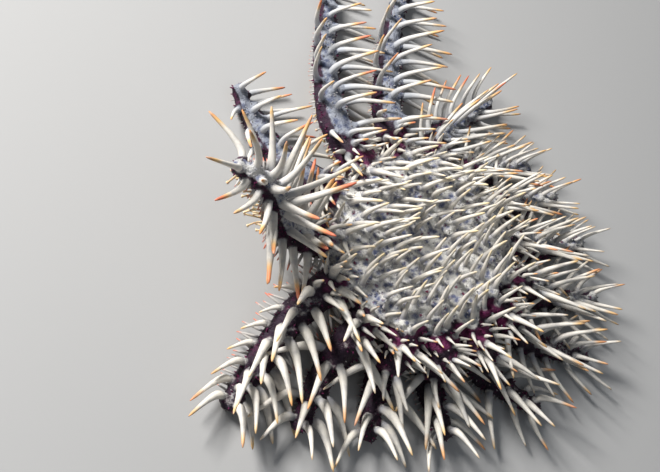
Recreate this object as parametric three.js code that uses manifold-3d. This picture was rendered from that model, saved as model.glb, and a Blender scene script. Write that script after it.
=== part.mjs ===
// Crown of thorns starfish at life size, in millimetres, with +Z up and the floor at z = 0.
// A raised disc carries fourteen arms that drape down to the floor and one arm that lifts its tip.
// The flesh is a deformed cylinder for each arm length and a turned disc, and every spine is a
// three-sided cone joined to the flesh that it grows from.

import * as THREE from 'three';
import { mergeVertices } from 'three/addons/utils/BufferGeometryUtils.js';
import Module from 'manifold-3d';

const wasm = await Module();
wasm.setup();

// Where the centre of the disc stands, so that the model's box is centred on the origin.
const DISC_X = 18.3;
const DISC_Y = 14.45;

// The disc.
const RIM_RADIUS = 78;
const RIM_UNDERSIDE = 27;
const DISC_CENTRE_TOP = 46;
const DISC_BULGE_TOP = 53;
const DISC_RIM_TOP = 48;
const GROOVE_DEPTH = 9;
const MOUTH_RADIUS = 17;
const MOUTH_RECESS = 3;
const MOUTH_HEIGHT = 6;

// The arms.
const ROOT_HALF_WIDTH = 14.2;
const ARM_HALF_WIDTH = 12.4;
const ARM_HALF_HEIGHT = 12.5;
const TIP_WIDTH_LOSS = 0.6;
const TIP_HEIGHT_LOSS = 0.58;
const TAPER_POWER = 1.6;
const ROOT_FLARE_SHARE = 0.15;
const FLAT_UNDERSIDE = 0.7;
const PRESS = 0.4;
const TURN_SHARE = 0.4;
const TIP_RISE = 4;
const TIP_CAP = 3.5;
const LINE_STEPS = 24;
const ARM_SIDES = 8;
const SECTION_SPACING = 12;
const SPLIT_SHARE = 0.5;
const GAP = 0.35;

// The spines.
const SPINE_RADIUS = 3;
const SPINE_SIDES = 3;
const SPINE_SPACING = 17;
const ROW_ANGLES = [-76, -26, 26, 76];
const ARM_SPINE_LENGTH = 42;
const SPINE_SINK = 4;
const DISC_SPINE_SINK = 6;
const DISC_SPINE_COUNT = 145;
const DISC_SPINE_REACH = 0.96;
const DISC_SPINE_LENGTH = 33;
const DISC_SIDEWAYS = 0.6;
const DISC_TIPPING = 0.17;
const DISC_RUFFLE = 0.6;
const GOLDEN_TURN = 137.508;
const SPINE_CLEARANCE = 0.6;
const CUT_CLEARANCE = 4.5;
const LOWEST_TIP = 3;
const CENTRE_CLEAR = 4;

// The short spines across the root of each arm: angle round the arm and distance from the root.
const ROOT_SPINES = [
  [-34, 3],
  [2, 3],
  [36, 3],
  [-18, 13],
  [20, 13],
];
const ROOT_SCATTER = 6;
const ROOT_SWEEP = new THREE.Vector3(0.45, 0.05, 0.1);

// Ways in which all the spines of an arm lean.
const OUTWARD = new THREE.Vector3(0.3, 0.1, 0);
const ASIDE = new THREE.Vector3(0.42, 0.3, 0.05);
const ALONGSIDE = new THREE.Vector3(0.2, 0.55, 0.1);
const CROSSING = new THREE.Vector3(0.62, 0.3, 0);
const FANNED = new THREE.Vector3(0.1, -0.05, 0);
const HANGING = new THREE.Vector3(0.36, -0.2, -0.12);

// One entry for each arm, anticlockwise as seen from above. azimuth is where it leaves the disc and
// turn is how far it swings to the side, in degrees. lands is the share of its length at which it
// reaches the floor, roll turns its rows of spines to one side, and lift raises its tip. girth widens
// an arm that has room beside its neighbours. sweep is the way its spines lean, rake is how much they
// also lean towards its tip, reach lengthens them and close sets them closer together. flank is the
// share of its length that a spine of the last row keeps, up to where the arm nears its tip.
const ARMS = [
  {
    azimuth: 20, length: 113, turn: 27, lands: 0.6, roll: 0, girth: 1,
    sweep: OUTWARD, rake: 1,
  },
  {
    azimuth: 42, length: 115, turn: 16, lands: 0.6, roll: 0, girth: 1,
    sweep: OUTWARD, rake: 1,
  },
  {
    azimuth: 64, length: 109, turn: 3, lands: 0.6, roll: 0, girth: 1,
    sweep: OUTWARD, rake: 1, reach: 0.9, close: 0.8,
  },
  {
    azimuth: 86, length: 103, turn: -13, lands: 0.6, roll: 0, girth: 1,
    sweep: OUTWARD, rake: 1, reach: 0.9, close: 0.8,
  },
  {
    azimuth: 107, length: 102, turn: -35, lands: 0.6, roll: 0, girth: 1,
    sweep: ASIDE, rake: 0.8, reach: 0.9, close: 0.8,
  },
  {
    azimuth: 130, length: 120, turn: -36, lands: 0.65, roll: 10, girth: 1,
    sweep: ALONGSIDE, rake: 0.8,
  },
  {
    azimuth: 154, length: 183, turn: -26, lands: 0.75, roll: 20, girth: 1.12,
    sweep: CROSSING, rake: 0.3, close: 1.2,
  },
  {
    azimuth: 180, length: 180, turn: -43, lands: 0.75, roll: 20, girth: 1.12,
    sweep: CROSSING, rake: 0.3, close: 1.2,
  },
  {
    azimuth: 207, length: 118, turn: -34, lands: 0.7, roll: 15, girth: 1.12,
    sweep: CROSSING, rake: 0.4,
  },
  {
    azimuth: 235, length: 123, turn: -15, lands: 0.5, roll: 0, girth: 1.12,
    sweep: FANNED, rake: 1, lift: 66, reach: 1.2, close: 0.72,
  },
  {
    azimuth: 260, length: 124, turn: 28, lands: 0.65, roll: -10, girth: 1.12,
    sweep: HANGING, rake: 1, reach: 1.15, close: 0.9, flank: 0.45,
  },
  {
    azimuth: 284, length: 97, turn: 11, lands: 0.6, roll: 0, girth: 1.08,
    sweep: HANGING, rake: 1, reach: 1.15,
  },
  {
    azimuth: 307, length: 84, turn: 2, lands: 0.5, roll: 0, girth: 1.08,
    sweep: HANGING, rake: 1, reach: 1.15,
  },
  {
    azimuth: 331, length: 79, turn: 8, lands: 0.5, roll: 0, girth: 1.1,
    sweep: HANGING, rake: 1, reach: 1.1,
  },
  {
    azimuth: 356, length: 96, turn: 30, lands: 0.5, roll: 0, girth: 1.05,
    sweep: HANGING, rake: 1, reach: 1.05,
  },
];

const UP = new THREE.Vector3(0, 0, 1);
const radians = THREE.MathUtils.degToRad;
const mix = THREE.MathUtils.lerp;
const smooth = (x) => THREE.MathUtils.smoothstep(x, 0, 1);

// A repeatable number from 0 to 1 for each id.
function scatter(id) {
  const wave = Math.sin(id * 12.9898) * 43758.5453;
  return wave - Math.floor(wave);
}

function compass(azimuth) {
  return new THREE.Vector3(Math.cos(radians(azimuth)), Math.sin(radians(azimuth)), 0);
}

// Half the width and half the height of an arm at the share s of its length.
function halfWidth(s) {
  const flare = (ROOT_HALF_WIDTH - ARM_HALF_WIDTH) * (1 - smooth(s / ROOT_FLARE_SHARE));
  return ARM_HALF_WIDTH * (1 - TIP_WIDTH_LOSS * s ** TAPER_POWER) + flare;
}

function halfHeight(s) {
  return ARM_HALF_HEIGHT * (1 - TIP_HEIGHT_LOSS * s ** TAPER_POWER);
}

// Height of the centre of an arm: a lifted arm climbs, and any other drapes down to the floor.
function lineHeight(arm, s) {
  const onFloor = halfHeight(s) * FLAT_UNDERSIDE - PRESS;
  if (arm.lift) {
    return onFloor + RIM_UNDERSIDE + arm.lift * smooth((s - 0.15) / 0.85);
  }
  const drape = RIM_UNDERSIDE * (1 - smooth(s / arm.lands));
  return onFloor + drape + TIP_RISE * smooth((s - 0.85) / 0.15);
}

// The centre line of an arm, in steps of equal length that turn to the side over its first part.
function centreLine(arm) {
  const step = arm.length / LINE_STEPS;
  const point = compass(arm.azimuth).multiplyScalar(RIM_RADIUS + GAP);
  point.z = lineHeight(arm, 0);
  const line = [point.clone()];
  for (let i = 0; i < LINE_STEPS; i += 1) {
    const heading = arm.azimuth + arm.turn * smooth((i + 0.5) / LINE_STEPS / TURN_SHARE);
    const rise = lineHeight(arm, (i + 1) / LINE_STEPS) - lineHeight(arm, i / LINE_STEPS);
    const run = Math.sqrt(Math.max(step ** 2 - rise ** 2, (0.2 * step) ** 2));
    point.addScaledVector(compass(heading), run);
    point.z += rise;
    line.push(point.clone());
  }
  return line;
}

// The place, forward, side and up directions at the share s of an arm.
function frameAt(arm, s) {
  const place = s * LINE_STEPS;
  const i = Math.min(Math.floor(place), LINE_STEPS - 1);
  const origin = arm.line[i].clone().lerp(arm.line[i + 1], place - i);
  const before = arm.line[Math.max(Math.round(place) - 1, 0)];
  const after = arm.line[Math.min(Math.round(place) + 1, LINE_STEPS)];
  const forward = s === 0 ? compass(arm.azimuth) : after.clone().sub(before).normalize();
  const side = forward.clone().cross(UP).normalize();
  return { origin, forward, side, up: side.clone().cross(forward) };
}

// A point on the skin of an arm. angle is measured from its top towards its right flank, and
// size 0 is the centre line. The underside is flat and stops at the floor.
function skinPoint(arm, s, angle, size = 1) {
  const frame = frameAt(arm, s);
  const across = halfWidth(s) * arm.girth * Math.sin(angle) * size;
  const upward = halfHeight(s) * Math.max(Math.cos(angle), -FLAT_UNDERSIDE) * size;
  const point = frame.origin.addScaledVector(frame.side, across).addScaledVector(frame.up, upward);
  point.z = Math.max(point.z, 0);
  return point;
}

// Height of the top of the disc at the share r of its radius, level with the arms' middles.
function discTop(r) {
  const bulge = DISC_BULGE_TOP - (DISC_BULGE_TOP - DISC_CENTRE_TOP) * (1 - smooth(r / 0.75));
  return bulge - (DISC_BULGE_TOP - DISC_RIM_TOP) * smooth((r - 0.75) / 0.25);
}

// How far the top of the disc dips at the share r of its radius, in the middle of a groove.
function grooveDip(r) {
  return GROOVE_DEPTH * smooth((r - 0.7) / 0.3);
}

// 0 in line with an arm and 1 in the groove between two arms.
function grooveShare(azimuth) {
  const place = (azimuth + 360) % 360;
  const behind = ARMS.findLastIndex((arm) => arm.azimuth <= place);
  const arm = ARMS.at(behind);
  const next = ARMS[(behind + 1) % ARMS.length];
  const share = ((place - arm.azimuth + 360) % 360) / ((next.azimuth - arm.azimuth + 360) % 360);
  return 1 - Math.abs(2 * share - 1);
}

// A closed mesh becomes a solid that can be joined and cut.
function solid(geometry) {
  geometry.deleteAttribute('normal');
  geometry.deleteAttribute('uv');
  const merged = mergeVertices(geometry, 1e-3);
  const vertProperties = new Float32Array(merged.attributes.position.array);
  const triVerts = new Uint32Array(merged.index.array);
  return new wasm.Manifold(new wasm.Mesh({ numProp: 3, vertProperties, triVerts }));
}

function geometryOf(body) {
  const mesh = body.getMesh();
  const geometry = new THREE.BufferGeometry();
  geometry.setAttribute('position', new THREE.BufferAttribute(mesh.vertProperties, 3));
  geometry.setIndex(new THREE.BufferAttribute(mesh.triVerts, 1));
  return geometry;
}

// A cylinder of rings wrapped onto one length of an arm, with a domed end at the arm's tip.
function armFlesh(arm, from, to) {
  const rings = Math.max(2, Math.round((arm.length * (to - from)) / SECTION_SPACING));
  const geometry = new THREE.CylinderGeometry(1, 1, 1, ARM_SIDES, rings);
  const position = geometry.attributes.position;
  for (let i = 0; i < position.count; i += 1) {
    const s = mix(from, to, 0.5 + position.getY(i));
    const size = Math.hypot(position.getX(i), position.getZ(i));
    const point = skinPoint(arm, s, Math.atan2(position.getX(i), position.getZ(i)), size);
    if (to === 1 && s === 1 && size < 0.5) {
      point.addScaledVector(frameAt(arm, 1).forward, TIP_CAP);
    }
    position.setXYZ(i, point.x, point.y, point.z);
  }
  return solid(geometry);
}

// The disc is turned from a profile. Each of its flats then faces one arm, and its rim dips in the
// grooves between the arms.
function discFlesh() {
  const profile = [
    [0, RIM_UNDERSIDE + MOUTH_RECESS],
    [(MOUTH_RADIUS + 1) / RIM_RADIUS, RIM_UNDERSIDE + MOUTH_RECESS],
    [(MOUTH_RADIUS + 4) / RIM_RADIUS, RIM_UNDERSIDE],
    [1, RIM_UNDERSIDE],
    [1, DISC_RIM_TOP],
    [0.9, discTop(0.9)],
    [0.75, discTop(0.75)],
    [0.45, discTop(0.45)],
    [0, DISC_CENTRE_TOP],
  ];
  const outline = profile.map(([r, z]) => new THREE.Vector2(r * RIM_RADIUS, z));
  const stations = ARMS.length * 2;
  const geometry = new THREE.LatheGeometry(outline, stations);
  geometry.rotateX(Math.PI / 2);
  const position = geometry.attributes.position;
  for (let i = 0; i < position.count; i += 1) {
    const radius = Math.hypot(position.getX(i), position.getY(i));
    const turn = (Math.atan2(position.getY(i), position.getX(i)) / Math.PI + 2) % 2;
    const station = Math.round(turn * ARMS.length) % stations;
    const arm = ARMS[Math.floor(station / 2)];
    const next = ARMS[(Math.floor(station / 2) + 1) % ARMS.length];
    const halfGap = ((next.azimuth - arm.azimuth + 360) % 360) / 2;
    const corner = station % 2 === 1;
    const azimuth = arm.azimuth + (corner ? halfGap : 0);
    const reach = corner ? radius / Math.cos(radians(halfGap)) : radius;
    const onTop = position.getZ(i) > RIM_UNDERSIDE + MOUTH_RECESS + 1;
    const dip = corner && onTop ? grooveDip(radius / RIM_RADIUS) : 0;
    const place = compass(azimuth).multiplyScalar(reach);
    position.setXYZ(i, place.x, place.y, position.getZ(i) - dip);
  }
  return solid(geometry);
}

// The mouth: a turned ring of jaws round a dimple, set in the recess under the disc.
function mouthFlesh() {
  const top = RIM_UNDERSIDE + MOUTH_RECESS - GAP;
  const outline = [
    [0, top - 2],
    [4, top - 3],
    [8, top - MOUTH_HEIGHT],
    [13, top - MOUTH_HEIGHT],
    [MOUTH_RADIUS, top - MOUTH_RECESS],
    [MOUTH_RADIUS - 1, top],
    [0, top],
  ].map(([r, z]) => new THREE.Vector2(r, z));
  const geometry = new THREE.LatheGeometry(outline, ARMS.length);
  geometry.rotateX(Math.PI / 2);
  return solid(geometry);
}

function makeSpine(owner, root, direction, length) {
  const aim = direction.clone().normalize();
  const tip = root.clone().addScaledVector(aim, length);
  tip.z = Math.max(tip.z, LOWEST_TIP);
  return { owner, root, tip };
}

// Moves the share s along an arm so that a spine there stands clear of the arm's two cut ends.
function clearOfCuts(arm, s) {
  const margin = CUT_CLEARANCE / arm.length;
  const fromSplit = s - SPLIT_SHARE;
  if (Math.abs(fromSplit) < margin) {
    return SPLIT_SHARE + (fromSplit < 0 ? -margin : margin);
  }
  return Math.max(s, margin);
}

// A spine of an arm at the share s and the angle round it. Towards the tip of the arm, spines lean
// forward. The id gives the spine its own lean and length.
function armSpine(arm, id, s, angle, sweep, grown) {
  const frame = frameAt(arm, s);
  const forwardLean = mix(0.1, 1.1, s * s) + 0.3 * (scatter(id + 0.6) - 0.5);
  const direction = frame.side.clone().multiplyScalar(Math.sin(angle));
  direction.addScaledVector(frame.up, Math.cos(angle)).add(sweep);
  direction.addScaledVector(frame.forward, forwardLean * arm.rake);
  const length = ARM_SPINE_LENGTH * (arm.reach ?? 1) * grown * mix(0.9, 1.12, scatter(id + 0.9));
  const owner = s < SPLIT_SHARE ? arm.inner : arm.outer;
  const sunk = 1 - SPINE_SINK / halfHeight(s);
  return makeSpine(owner, skinPoint(arm, s, angle, sunk), direction, length);
}

// How much of its length a spine of the row at the share s of the arm keeps.
function flankShare(arm, row, s) {
  const isLastRow = row === ROW_ANGLES.length - 1;
  return isLastRow ? mix(arm.flank ?? 1, 1, smooth((s - 0.6) / 0.3)) : 1;
}

// Spines of one arm: rows along it, and a few short ones across its root.
function armSpines(arm) {
  const spines = [];
  const count = Math.floor(arm.length / (SPINE_SPACING * (arm.close ?? 1)));
  ROW_ANGLES.forEach((rowAngle, row) => {
    for (let i = 0; i < count; i += 1) {
      const id = arm.number * 1000 + row * 100 + i;
      const s = clearOfCuts(arm, (i + 0.35 + 0.5 * (row % 2) + 0.3 * (scatter(id) - 0.5)) / count);
      const angle = radians(rowAngle + arm.roll + 14 * (scatter(id + 0.3) - 0.5));
      const grown = mix(0.85, 1.08, smooth(s / 0.5)) * mix(1, 0.72, smooth((s - 0.6) / 0.4));
      spines.push(armSpine(arm, id, s, angle, arm.sweep, grown * flankShare(arm, row, s)));
    }
  });
  ROOT_SPINES.forEach(([rootAngle, start], k) => {
    const id = arm.number * 1000 + 900 + k;
    const s = clearOfCuts(arm, (start + ROOT_SCATTER * scatter(id)) / arm.length);
    const angle = radians(rootAngle + 20 * (scatter(id + 0.3) - 0.5));
    spines.push(armSpine(arm, id, s, angle, ROOT_SWEEP, mix(0.45, 0.65, scatter(id + 0.7))));
  });
  return spines;
}

// Spines of the disc, spread like the seeds of a sunflower. Those of the middle lean across it from
// two sides, and those of the rim lean outwards.
function discSpines() {
  const spines = [];
  for (let i = CENTRE_CLEAR; i < DISC_SPINE_COUNT; i += 1) {
    const r = DISC_SPINE_REACH * Math.sqrt((i + 0.5) / DISC_SPINE_COUNT);
    const azimuth = (i * GOLDEN_TURN + 8 * (scatter(i + 0.2) - 0.5)) % 360;
    const out = compass(azimuth);
    const root = out.clone().multiplyScalar(r * RIM_RADIUS);
    root.z = discTop(r) - grooveDip(r) * grooveShare(azimuth) - DISC_SPINE_SINK;
    const inner = 1 - 0.6 * smooth((r - 0.88) / 0.1);
    const direction = UP.clone().addScaledVector(out, 0.75 * (1 - inner));
    direction.x += inner * (DISC_RUFFLE * (scatter(i + 0.5) - 0.5) - DISC_SIDEWAYS * r * out.x);
    direction.y += inner * (DISC_TIPPING + DISC_RUFFLE * (scatter(i + 0.65) - 0.5));
    const length = DISC_SPINE_LENGTH * mix(0.88, 1.1, scatter(i + 0.8)) * mix(1, 1.15, r);
    spines.push(makeSpine('disc', root, direction, length));
  }
  return spines;
}

// The least distance between two spines, taken as straight lines.
function spineDistance(a, b) {
  const segment = new THREE.Line3(b.root, b.tip);
  const nearest = new THREE.Vector3();
  let least = Infinity;
  for (let t = 0; t <= 1; t += 0.1) {
    const point = a.root.clone().lerp(a.tip, t);
    segment.closestPointToPoint(point, true, nearest);
    least = Math.min(least, nearest.distanceTo(point));
  }
  return least;
}

// A spine that would run into the flesh of another part.
function meetsFlesh(spine) {
  for (let t = 0.15; t <= 1; t += 0.05) {
    const point = spine.root.clone().lerp(spine.tip, t);
    const margin = SPINE_RADIUS * (1 - t) + 1.2 * SPINE_CLEARANCE;
    const r = Math.hypot(point.x, point.y) / (RIM_RADIUS + margin);
    if (spine.owner !== 'disc' && r < 1.03 && point.z < discTop(Math.min(r, 1)) + margin) {
      return true;
    }
    for (const arm of ARMS) {
      for (let k = 0; k <= LINE_STEPS; k += 1) {
        const s = k / LINE_STEPS;
        const own = spine.owner === (s < SPLIT_SHARE ? arm.inner : arm.outer);
        const reach = Math.max(halfWidth(s) * arm.girth, halfHeight(s)) + margin;
        if (!own && arm.line[k].distanceTo(point) < reach) {
          return true;
        }
      }
    }
  }
  return false;
}

// Keeps the spines that stand clear of the other parts and of the spines kept before them.
function clearSpines(candidates) {
  const kept = [];
  const clearance = 2 * SPINE_RADIUS * 0.8 + SPINE_CLEARANCE;
  for (const spine of candidates) {
    const blocked = kept.some((other) => other.owner !== spine.owner
      && spineDistance(spine, other) < clearance);
    if (!blocked && !meetsFlesh(spine)) {
      kept.push(spine);
    }
  }
  return kept;
}

function spineSolid(spine) {
  const span = spine.tip.clone().sub(spine.root);
  const geometry = new THREE.ConeGeometry(SPINE_RADIUS, span.length(), SPINE_SIDES);
  geometry.translate(0, span.length() / 2, 0);
  const aim = new THREE.Quaternion().setFromUnitVectors(new THREE.Vector3(0, 1, 0), span.normalize());
  geometry.applyQuaternion(aim);
  geometry.translate(spine.root.x, spine.root.y, spine.root.z);
  return solid(geometry);
}

const model = new THREE.Group();
model.position.set(DISC_X, DISC_Y, 0);

const COLOURS = { disc: 0xb9b4ae, arm: 0x8a8fa0, mouth: 0x9c6f5a };

function addPart(name, flesh, spines, colour, roughness) {
  const joined = spines.map(spineSolid).reduce((body, spine) => body.add(spine), flesh);
  const material = new THREE.MeshStandardMaterial({ color: colour, roughness, metalness: 0 });
  material.name = name;
  const mesh = new THREE.Mesh(geometryOf(joined), material);
  mesh.name = name;
  model.add(mesh);
}

ARMS.forEach((arm, index) => {
  arm.number = index + 1;
  const label = `arm_${String(arm.number).padStart(2, '0')}`;
  arm.inner = `${label}_inner`;
  arm.outer = `${label}_outer`;
  arm.line = centreLine(arm);
});

const spines = clearSpines([...ARMS.flatMap(armSpines), ...discSpines()]);
const spinesOf = (owner) => spines.filter((spine) => spine.owner === owner);

addPart('disc', discFlesh(), spinesOf('disc'), COLOURS.disc, 0.75);
addPart('mouth', mouthFlesh(), [], COLOURS.mouth, 0.6);
for (const arm of ARMS) {
  const cut = GAP / 2 / arm.length;
  addPart(arm.inner, armFlesh(arm, 0, SPLIT_SHARE - cut), spinesOf(arm.inner), COLOURS.arm, 0.7);
  addPart(arm.outer, armFlesh(arm, SPLIT_SHARE + cut, 1), spinesOf(arm.outer), COLOURS.arm, 0.7);
}

export default model;
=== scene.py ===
# %% [markdown]
# # A crown of thorns starfish, life size
#
# The animal is a raised disc with fifteen arms, and hundreds of long spines stand on both. This lesson
# loads the solid model as a fixed frame. It then grows one continuous skin over disc and arms, plants
# the spines on it, adds the small feet and spines of the underside, and lights the whole.

import math

import bpy
import numpy as np
from mathutils import Matrix, Vector
from mathutils.kdtree import KDTree


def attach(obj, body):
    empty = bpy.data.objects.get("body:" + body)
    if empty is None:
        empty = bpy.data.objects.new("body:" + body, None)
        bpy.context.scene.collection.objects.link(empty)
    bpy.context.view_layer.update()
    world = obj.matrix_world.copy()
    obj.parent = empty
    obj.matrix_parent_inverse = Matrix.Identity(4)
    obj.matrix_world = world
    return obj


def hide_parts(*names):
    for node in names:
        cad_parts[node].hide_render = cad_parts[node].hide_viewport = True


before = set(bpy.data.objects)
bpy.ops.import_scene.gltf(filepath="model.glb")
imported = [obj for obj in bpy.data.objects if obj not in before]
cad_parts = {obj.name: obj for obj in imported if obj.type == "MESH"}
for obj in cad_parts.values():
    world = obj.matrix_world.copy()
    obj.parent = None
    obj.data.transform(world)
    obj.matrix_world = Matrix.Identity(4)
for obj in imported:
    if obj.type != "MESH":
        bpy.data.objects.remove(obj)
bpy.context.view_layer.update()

# %% [markdown]
# ## Sizes of the body
#
# The same driving dimensions as in the solid model are repeated here in metres, so that the skin lies
# just inside the solids. Each arm is one row of a table. The first columns are its shape: where it
# leaves the disc, its length, how far it swings to the side, the share of its length at which it meets
# the floor, how far its rows of spines are rolled, its girth, and how far its tip is lifted. The next
# are its spines: which way they sweep, how much they lean forward, how long they are, how far apart
# they stand, and the share of its length that the last row keeps. The rest are the finish: how pale the
# arm is, how much painted blue shade it and its spines carry, how stout its spines are, and how orange
# their tips.

# %% Driving dimensions
MM = 0.001
DISC_PLACE = np.array([18.3, 14.45, 0.0]) * MM
RIM_RADIUS = 78 * MM
RIM_UNDERSIDE = 27 * MM
DISC_CENTRE_TOP = 46 * MM
DISC_BULGE_TOP = 53 * MM
DISC_RIM_TOP = 48 * MM
GROOVE_DEPTH = 9 * MM
ROOT_HALF_WIDTH = 14.2 * MM
ARM_HALF_WIDTH = 12.4 * MM
ARM_HALF_HEIGHT = 12.5 * MM
TIP_WIDTH_LOSS = 0.6
TIP_HEIGHT_LOSS = 0.58
TAPER_POWER = 1.6
ROOT_FLARE_SHARE = 0.15
FLAT_UNDERSIDE = 0.7
TURN_SHARE = 0.4
TIP_RISE = 4 * MM
LINE_STEPS = 48

ARM_FIELDS = (
    "azimuth length turn lands roll girth lift sweep rake reach close flank pale cool stout warm"
).split()
# Sweeps: directions added to the way in which a spine leaves the skin.
HANGING = (0.36, -0.2, -0.12)
OUTWARD = (0.3, 0.1, 0.0)
ASIDE = (0.42, 0.3, 0.05)
ALONGSIDE = (0.2, 0.55, 0.1)
CROSSING = (0.62, 0.3, 0.0)
FANNED = (0.1, -0.05, 0.0)
ARM_ROWS = (
    (20, 113, 27, 0.6, 0, 1, 0, OUTWARD, 1, 1, 1, 1, 0.35, 0.2, 1.0, 0.5),
    (42, 115, 16, 0.6, 0, 1, 0, OUTWARD, 1, 1, 1, 1, 0.6, 0.1, 0.95, 0.5),
    (64, 109, 3, 0.6, 0, 1, 0, OUTWARD, 1, 0.9, 0.8, 1, 0.9, 0.1, 0.9, 0.55),
    (86, 103, -13, 0.6, 0, 1, 0, OUTWARD, 1, 0.9, 0.8, 1, 1.0, 0.2, 0.88, 0.7),
    (107, 102, -35, 0.6, 0, 1, 0, ASIDE, 0.8, 0.9, 0.8, 1, 1.0, 0.4, 0.86, 0.8),
    (130, 120, -36, 0.65, 10, 1, 0, ALONGSIDE, 0.8, 1, 1, 1, 1.0, 0.7, 0.88, 0.9),
    (154, 183, -26, 0.75, 20, 1.12, 0, CROSSING, 0.3, 1, 1.2, 1, 1.0, 1.0, 0.95, 0.9),
    (180, 180, -43, 0.75, 20, 1.12, 0, CROSSING, 0.3, 1, 1.2, 1, 1.0, 1.0, 0.98, 0.9),
    (207, 118, -34, 0.7, 15, 1.12, 0, CROSSING, 0.4, 1, 1, 1, 1.0, 1.0, 0.95, 1.0),
    (235, 123, -15, 0.5, 0, 1.12, 66, FANNED, 1, 1.2, 0.72, 1, 1.0, 0.3, 1.12, 1.0),
    (260, 124, 28, 0.65, -10, 1.12, 0, HANGING, 1, 1.15, 0.9, 0.45, 0.3, 0.0, 1.2, 0.45),
    (284, 97, 11, 0.6, 0, 1.08, 0, HANGING, 1, 1.15, 1, 1, 0.2, 0.0, 1.2, 0.35),
    (307, 84, 2, 0.5, 0, 1.08, 0, HANGING, 1, 1.15, 1, 1, 0.2, 0.0, 1.2, 0.3),
    (331, 79, 8, 0.5, 0, 1.1, 0, HANGING, 1, 1.1, 1, 1, 0.2, 0.0, 1.15, 0.35),
    (356, 96, 30, 0.5, 0, 1.05, 0, HANGING, 1, 1.05, 1, 1, 0.25, 0.1, 1.05, 0.45),
)
ARMS = [dict(zip(ARM_FIELDS, row), number=n + 1) for n, row in enumerate(ARM_ROWS)]
for arm in ARMS:
    arm["length"] *= MM
    arm["lift"] *= MM
print(len(ARMS), "arms, the longest", max(arm["length"] for arm in ARMS), "m")

# %% [markdown]
# ## Lines, sections and frames
#
# An arm is a section carried along a bent line. The line could be drawn by hand as a curve object, but
# a formula keeps it in step with the solid model and lets every spine find its own place on it.

# %% Small helpers
UP = np.array([0.0, 0.0, 1.0])


def smooth(x):
    """Rises from 0 to 1 with level ends: three x squared less two x cubed."""
    t = np.clip(x, 0.0, 1.0)
    return t * t * (3 - 2 * t)


def mix(a, b, t):
    """Goes from a to b as t goes from 0 to 1."""
    return a + (b - a) * t


def scatter(ids):
    """A repeatable number from 0 to 1 for each id: the broken part of a steep sine wave."""
    wave = np.sin(np.asarray(ids, float) * 12.9898) * 43758.5453
    return wave - np.floor(wave)


def wobble(ids):
    """A repeatable number from -0.5 to 0.5 for each id."""
    return scatter(ids) - 0.5


def unit(vectors):
    """Each vector divided by its length."""
    return vectors / np.linalg.norm(vectors, axis=-1, keepdims=True)


def compass(degrees):
    """Level direction at each angle: cosine and sine of it, and no height."""
    a = np.radians(np.asarray(degrees, float))
    return np.stack([np.cos(a), np.sin(a), np.zeros_like(a)], -1)


# %% The line and section of an arm
LIFT_START, LIFT_OVER = 0.15, 0.85
RISE_START, RISE_OVER = 0.85, 0.15
LEAST_RUN = 0.2


def half_width(s):
    """Half an arm's width at the share s of its length: it tapers, and flares where it leaves the disc.
    The taper is the share to a power, and the flare fades over the first part of the arm."""
    flare = (ROOT_HALF_WIDTH - ARM_HALF_WIDTH) * (1 - smooth(s / ROOT_FLARE_SHARE))
    return ARM_HALF_WIDTH * (1 - TIP_WIDTH_LOSS * np.clip(s, 0, 1) ** TAPER_POWER) + flare


def half_height(s):
    """Half an arm's height at the share s of its length, less by a power of the share."""
    return ARM_HALF_HEIGHT * (1 - TIP_HEIGHT_LOSS * np.clip(s, 0, 1) ** TAPER_POWER)


def line_height(arm, s):
    """Height of an arm's middle: its half height, plus the drape down from the disc, or plus the lift."""
    on_floor = half_height(s) * FLAT_UNDERSIDE
    if arm["lift"]:
        return on_floor + RIM_UNDERSIDE + arm["lift"] * smooth((s - LIFT_START) / LIFT_OVER)
    drape = RIM_UNDERSIDE * (1 - smooth(s / arm["lands"]))
    return on_floor + drape + TIP_RISE * smooth((s - RISE_START) / RISE_OVER)


def centre_line(arm):
    """Steps of equal length: the rise comes from the height formula, and the run is the root of what is
    left of the step squared."""
    s = np.linspace(0, 1, LINE_STEPS + 1)
    heights = line_height(arm, s)
    step = arm["length"] / LINE_STEPS
    rise = np.diff(heights)
    run = np.sqrt(np.maximum(step**2 - rise**2, (LEAST_RUN * step) ** 2))
    middle = (s[1:] + s[:-1]) / 2
    moves = compass(arm["azimuth"] + arm["turn"] * smooth(middle / TURN_SHARE)) * run[:, None]
    moves[:, 2] = rise
    start = compass(arm["azimuth"]) * RIM_RADIUS + DISC_PLACE + UP * heights[0]
    return np.vstack([start, start + np.cumsum(moves, axis=0)])


def frames_at(arm, s):
    """Place, forward, side and up directions at the shares s, between the points of the line."""
    place = np.clip(s, 0, 1) * LINE_STEPS
    steps = np.arange(LINE_STEPS + 1)
    line = arm["line"]
    slope = np.gradient(line, axis=0)
    origin = np.stack([np.interp(place, steps, line[:, k]) for k in range(3)], -1)
    forward = unit(np.stack([np.interp(place, steps, slope[:, k]) for k in range(3)], -1))
    side = unit(np.cross(forward, UP))
    return origin, forward, side, np.cross(side, forward)


for arm in ARMS:
    arm["line"] = centre_line(arm)
print("tip of arm 1 at", ARMS[0]["line"][-1].round(3))

# %% [markdown]
# ## The surfaces under the skin
#
# The flesh starts as simple closed surfaces: a tube for each arm and a turned saucer for the disc. A
# tube's section is an oval with a flat underside and a low keel along the top. They are a little
# smaller than the solids, so the finished skin lies inside them.

# %% Carrying a grid of points into a mesh
SKIN_FIT = 0.95
ARM_SIDES = 32
ARM_RINGS = 60
ROOT_OVERLAP = 16 * MM
KEEL, KEEL_SPREAD = 0.05, 0.4
TIP_DOME = 3.4 * MM
DOME_TURNS = (25, 50, 72, 88)


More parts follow.
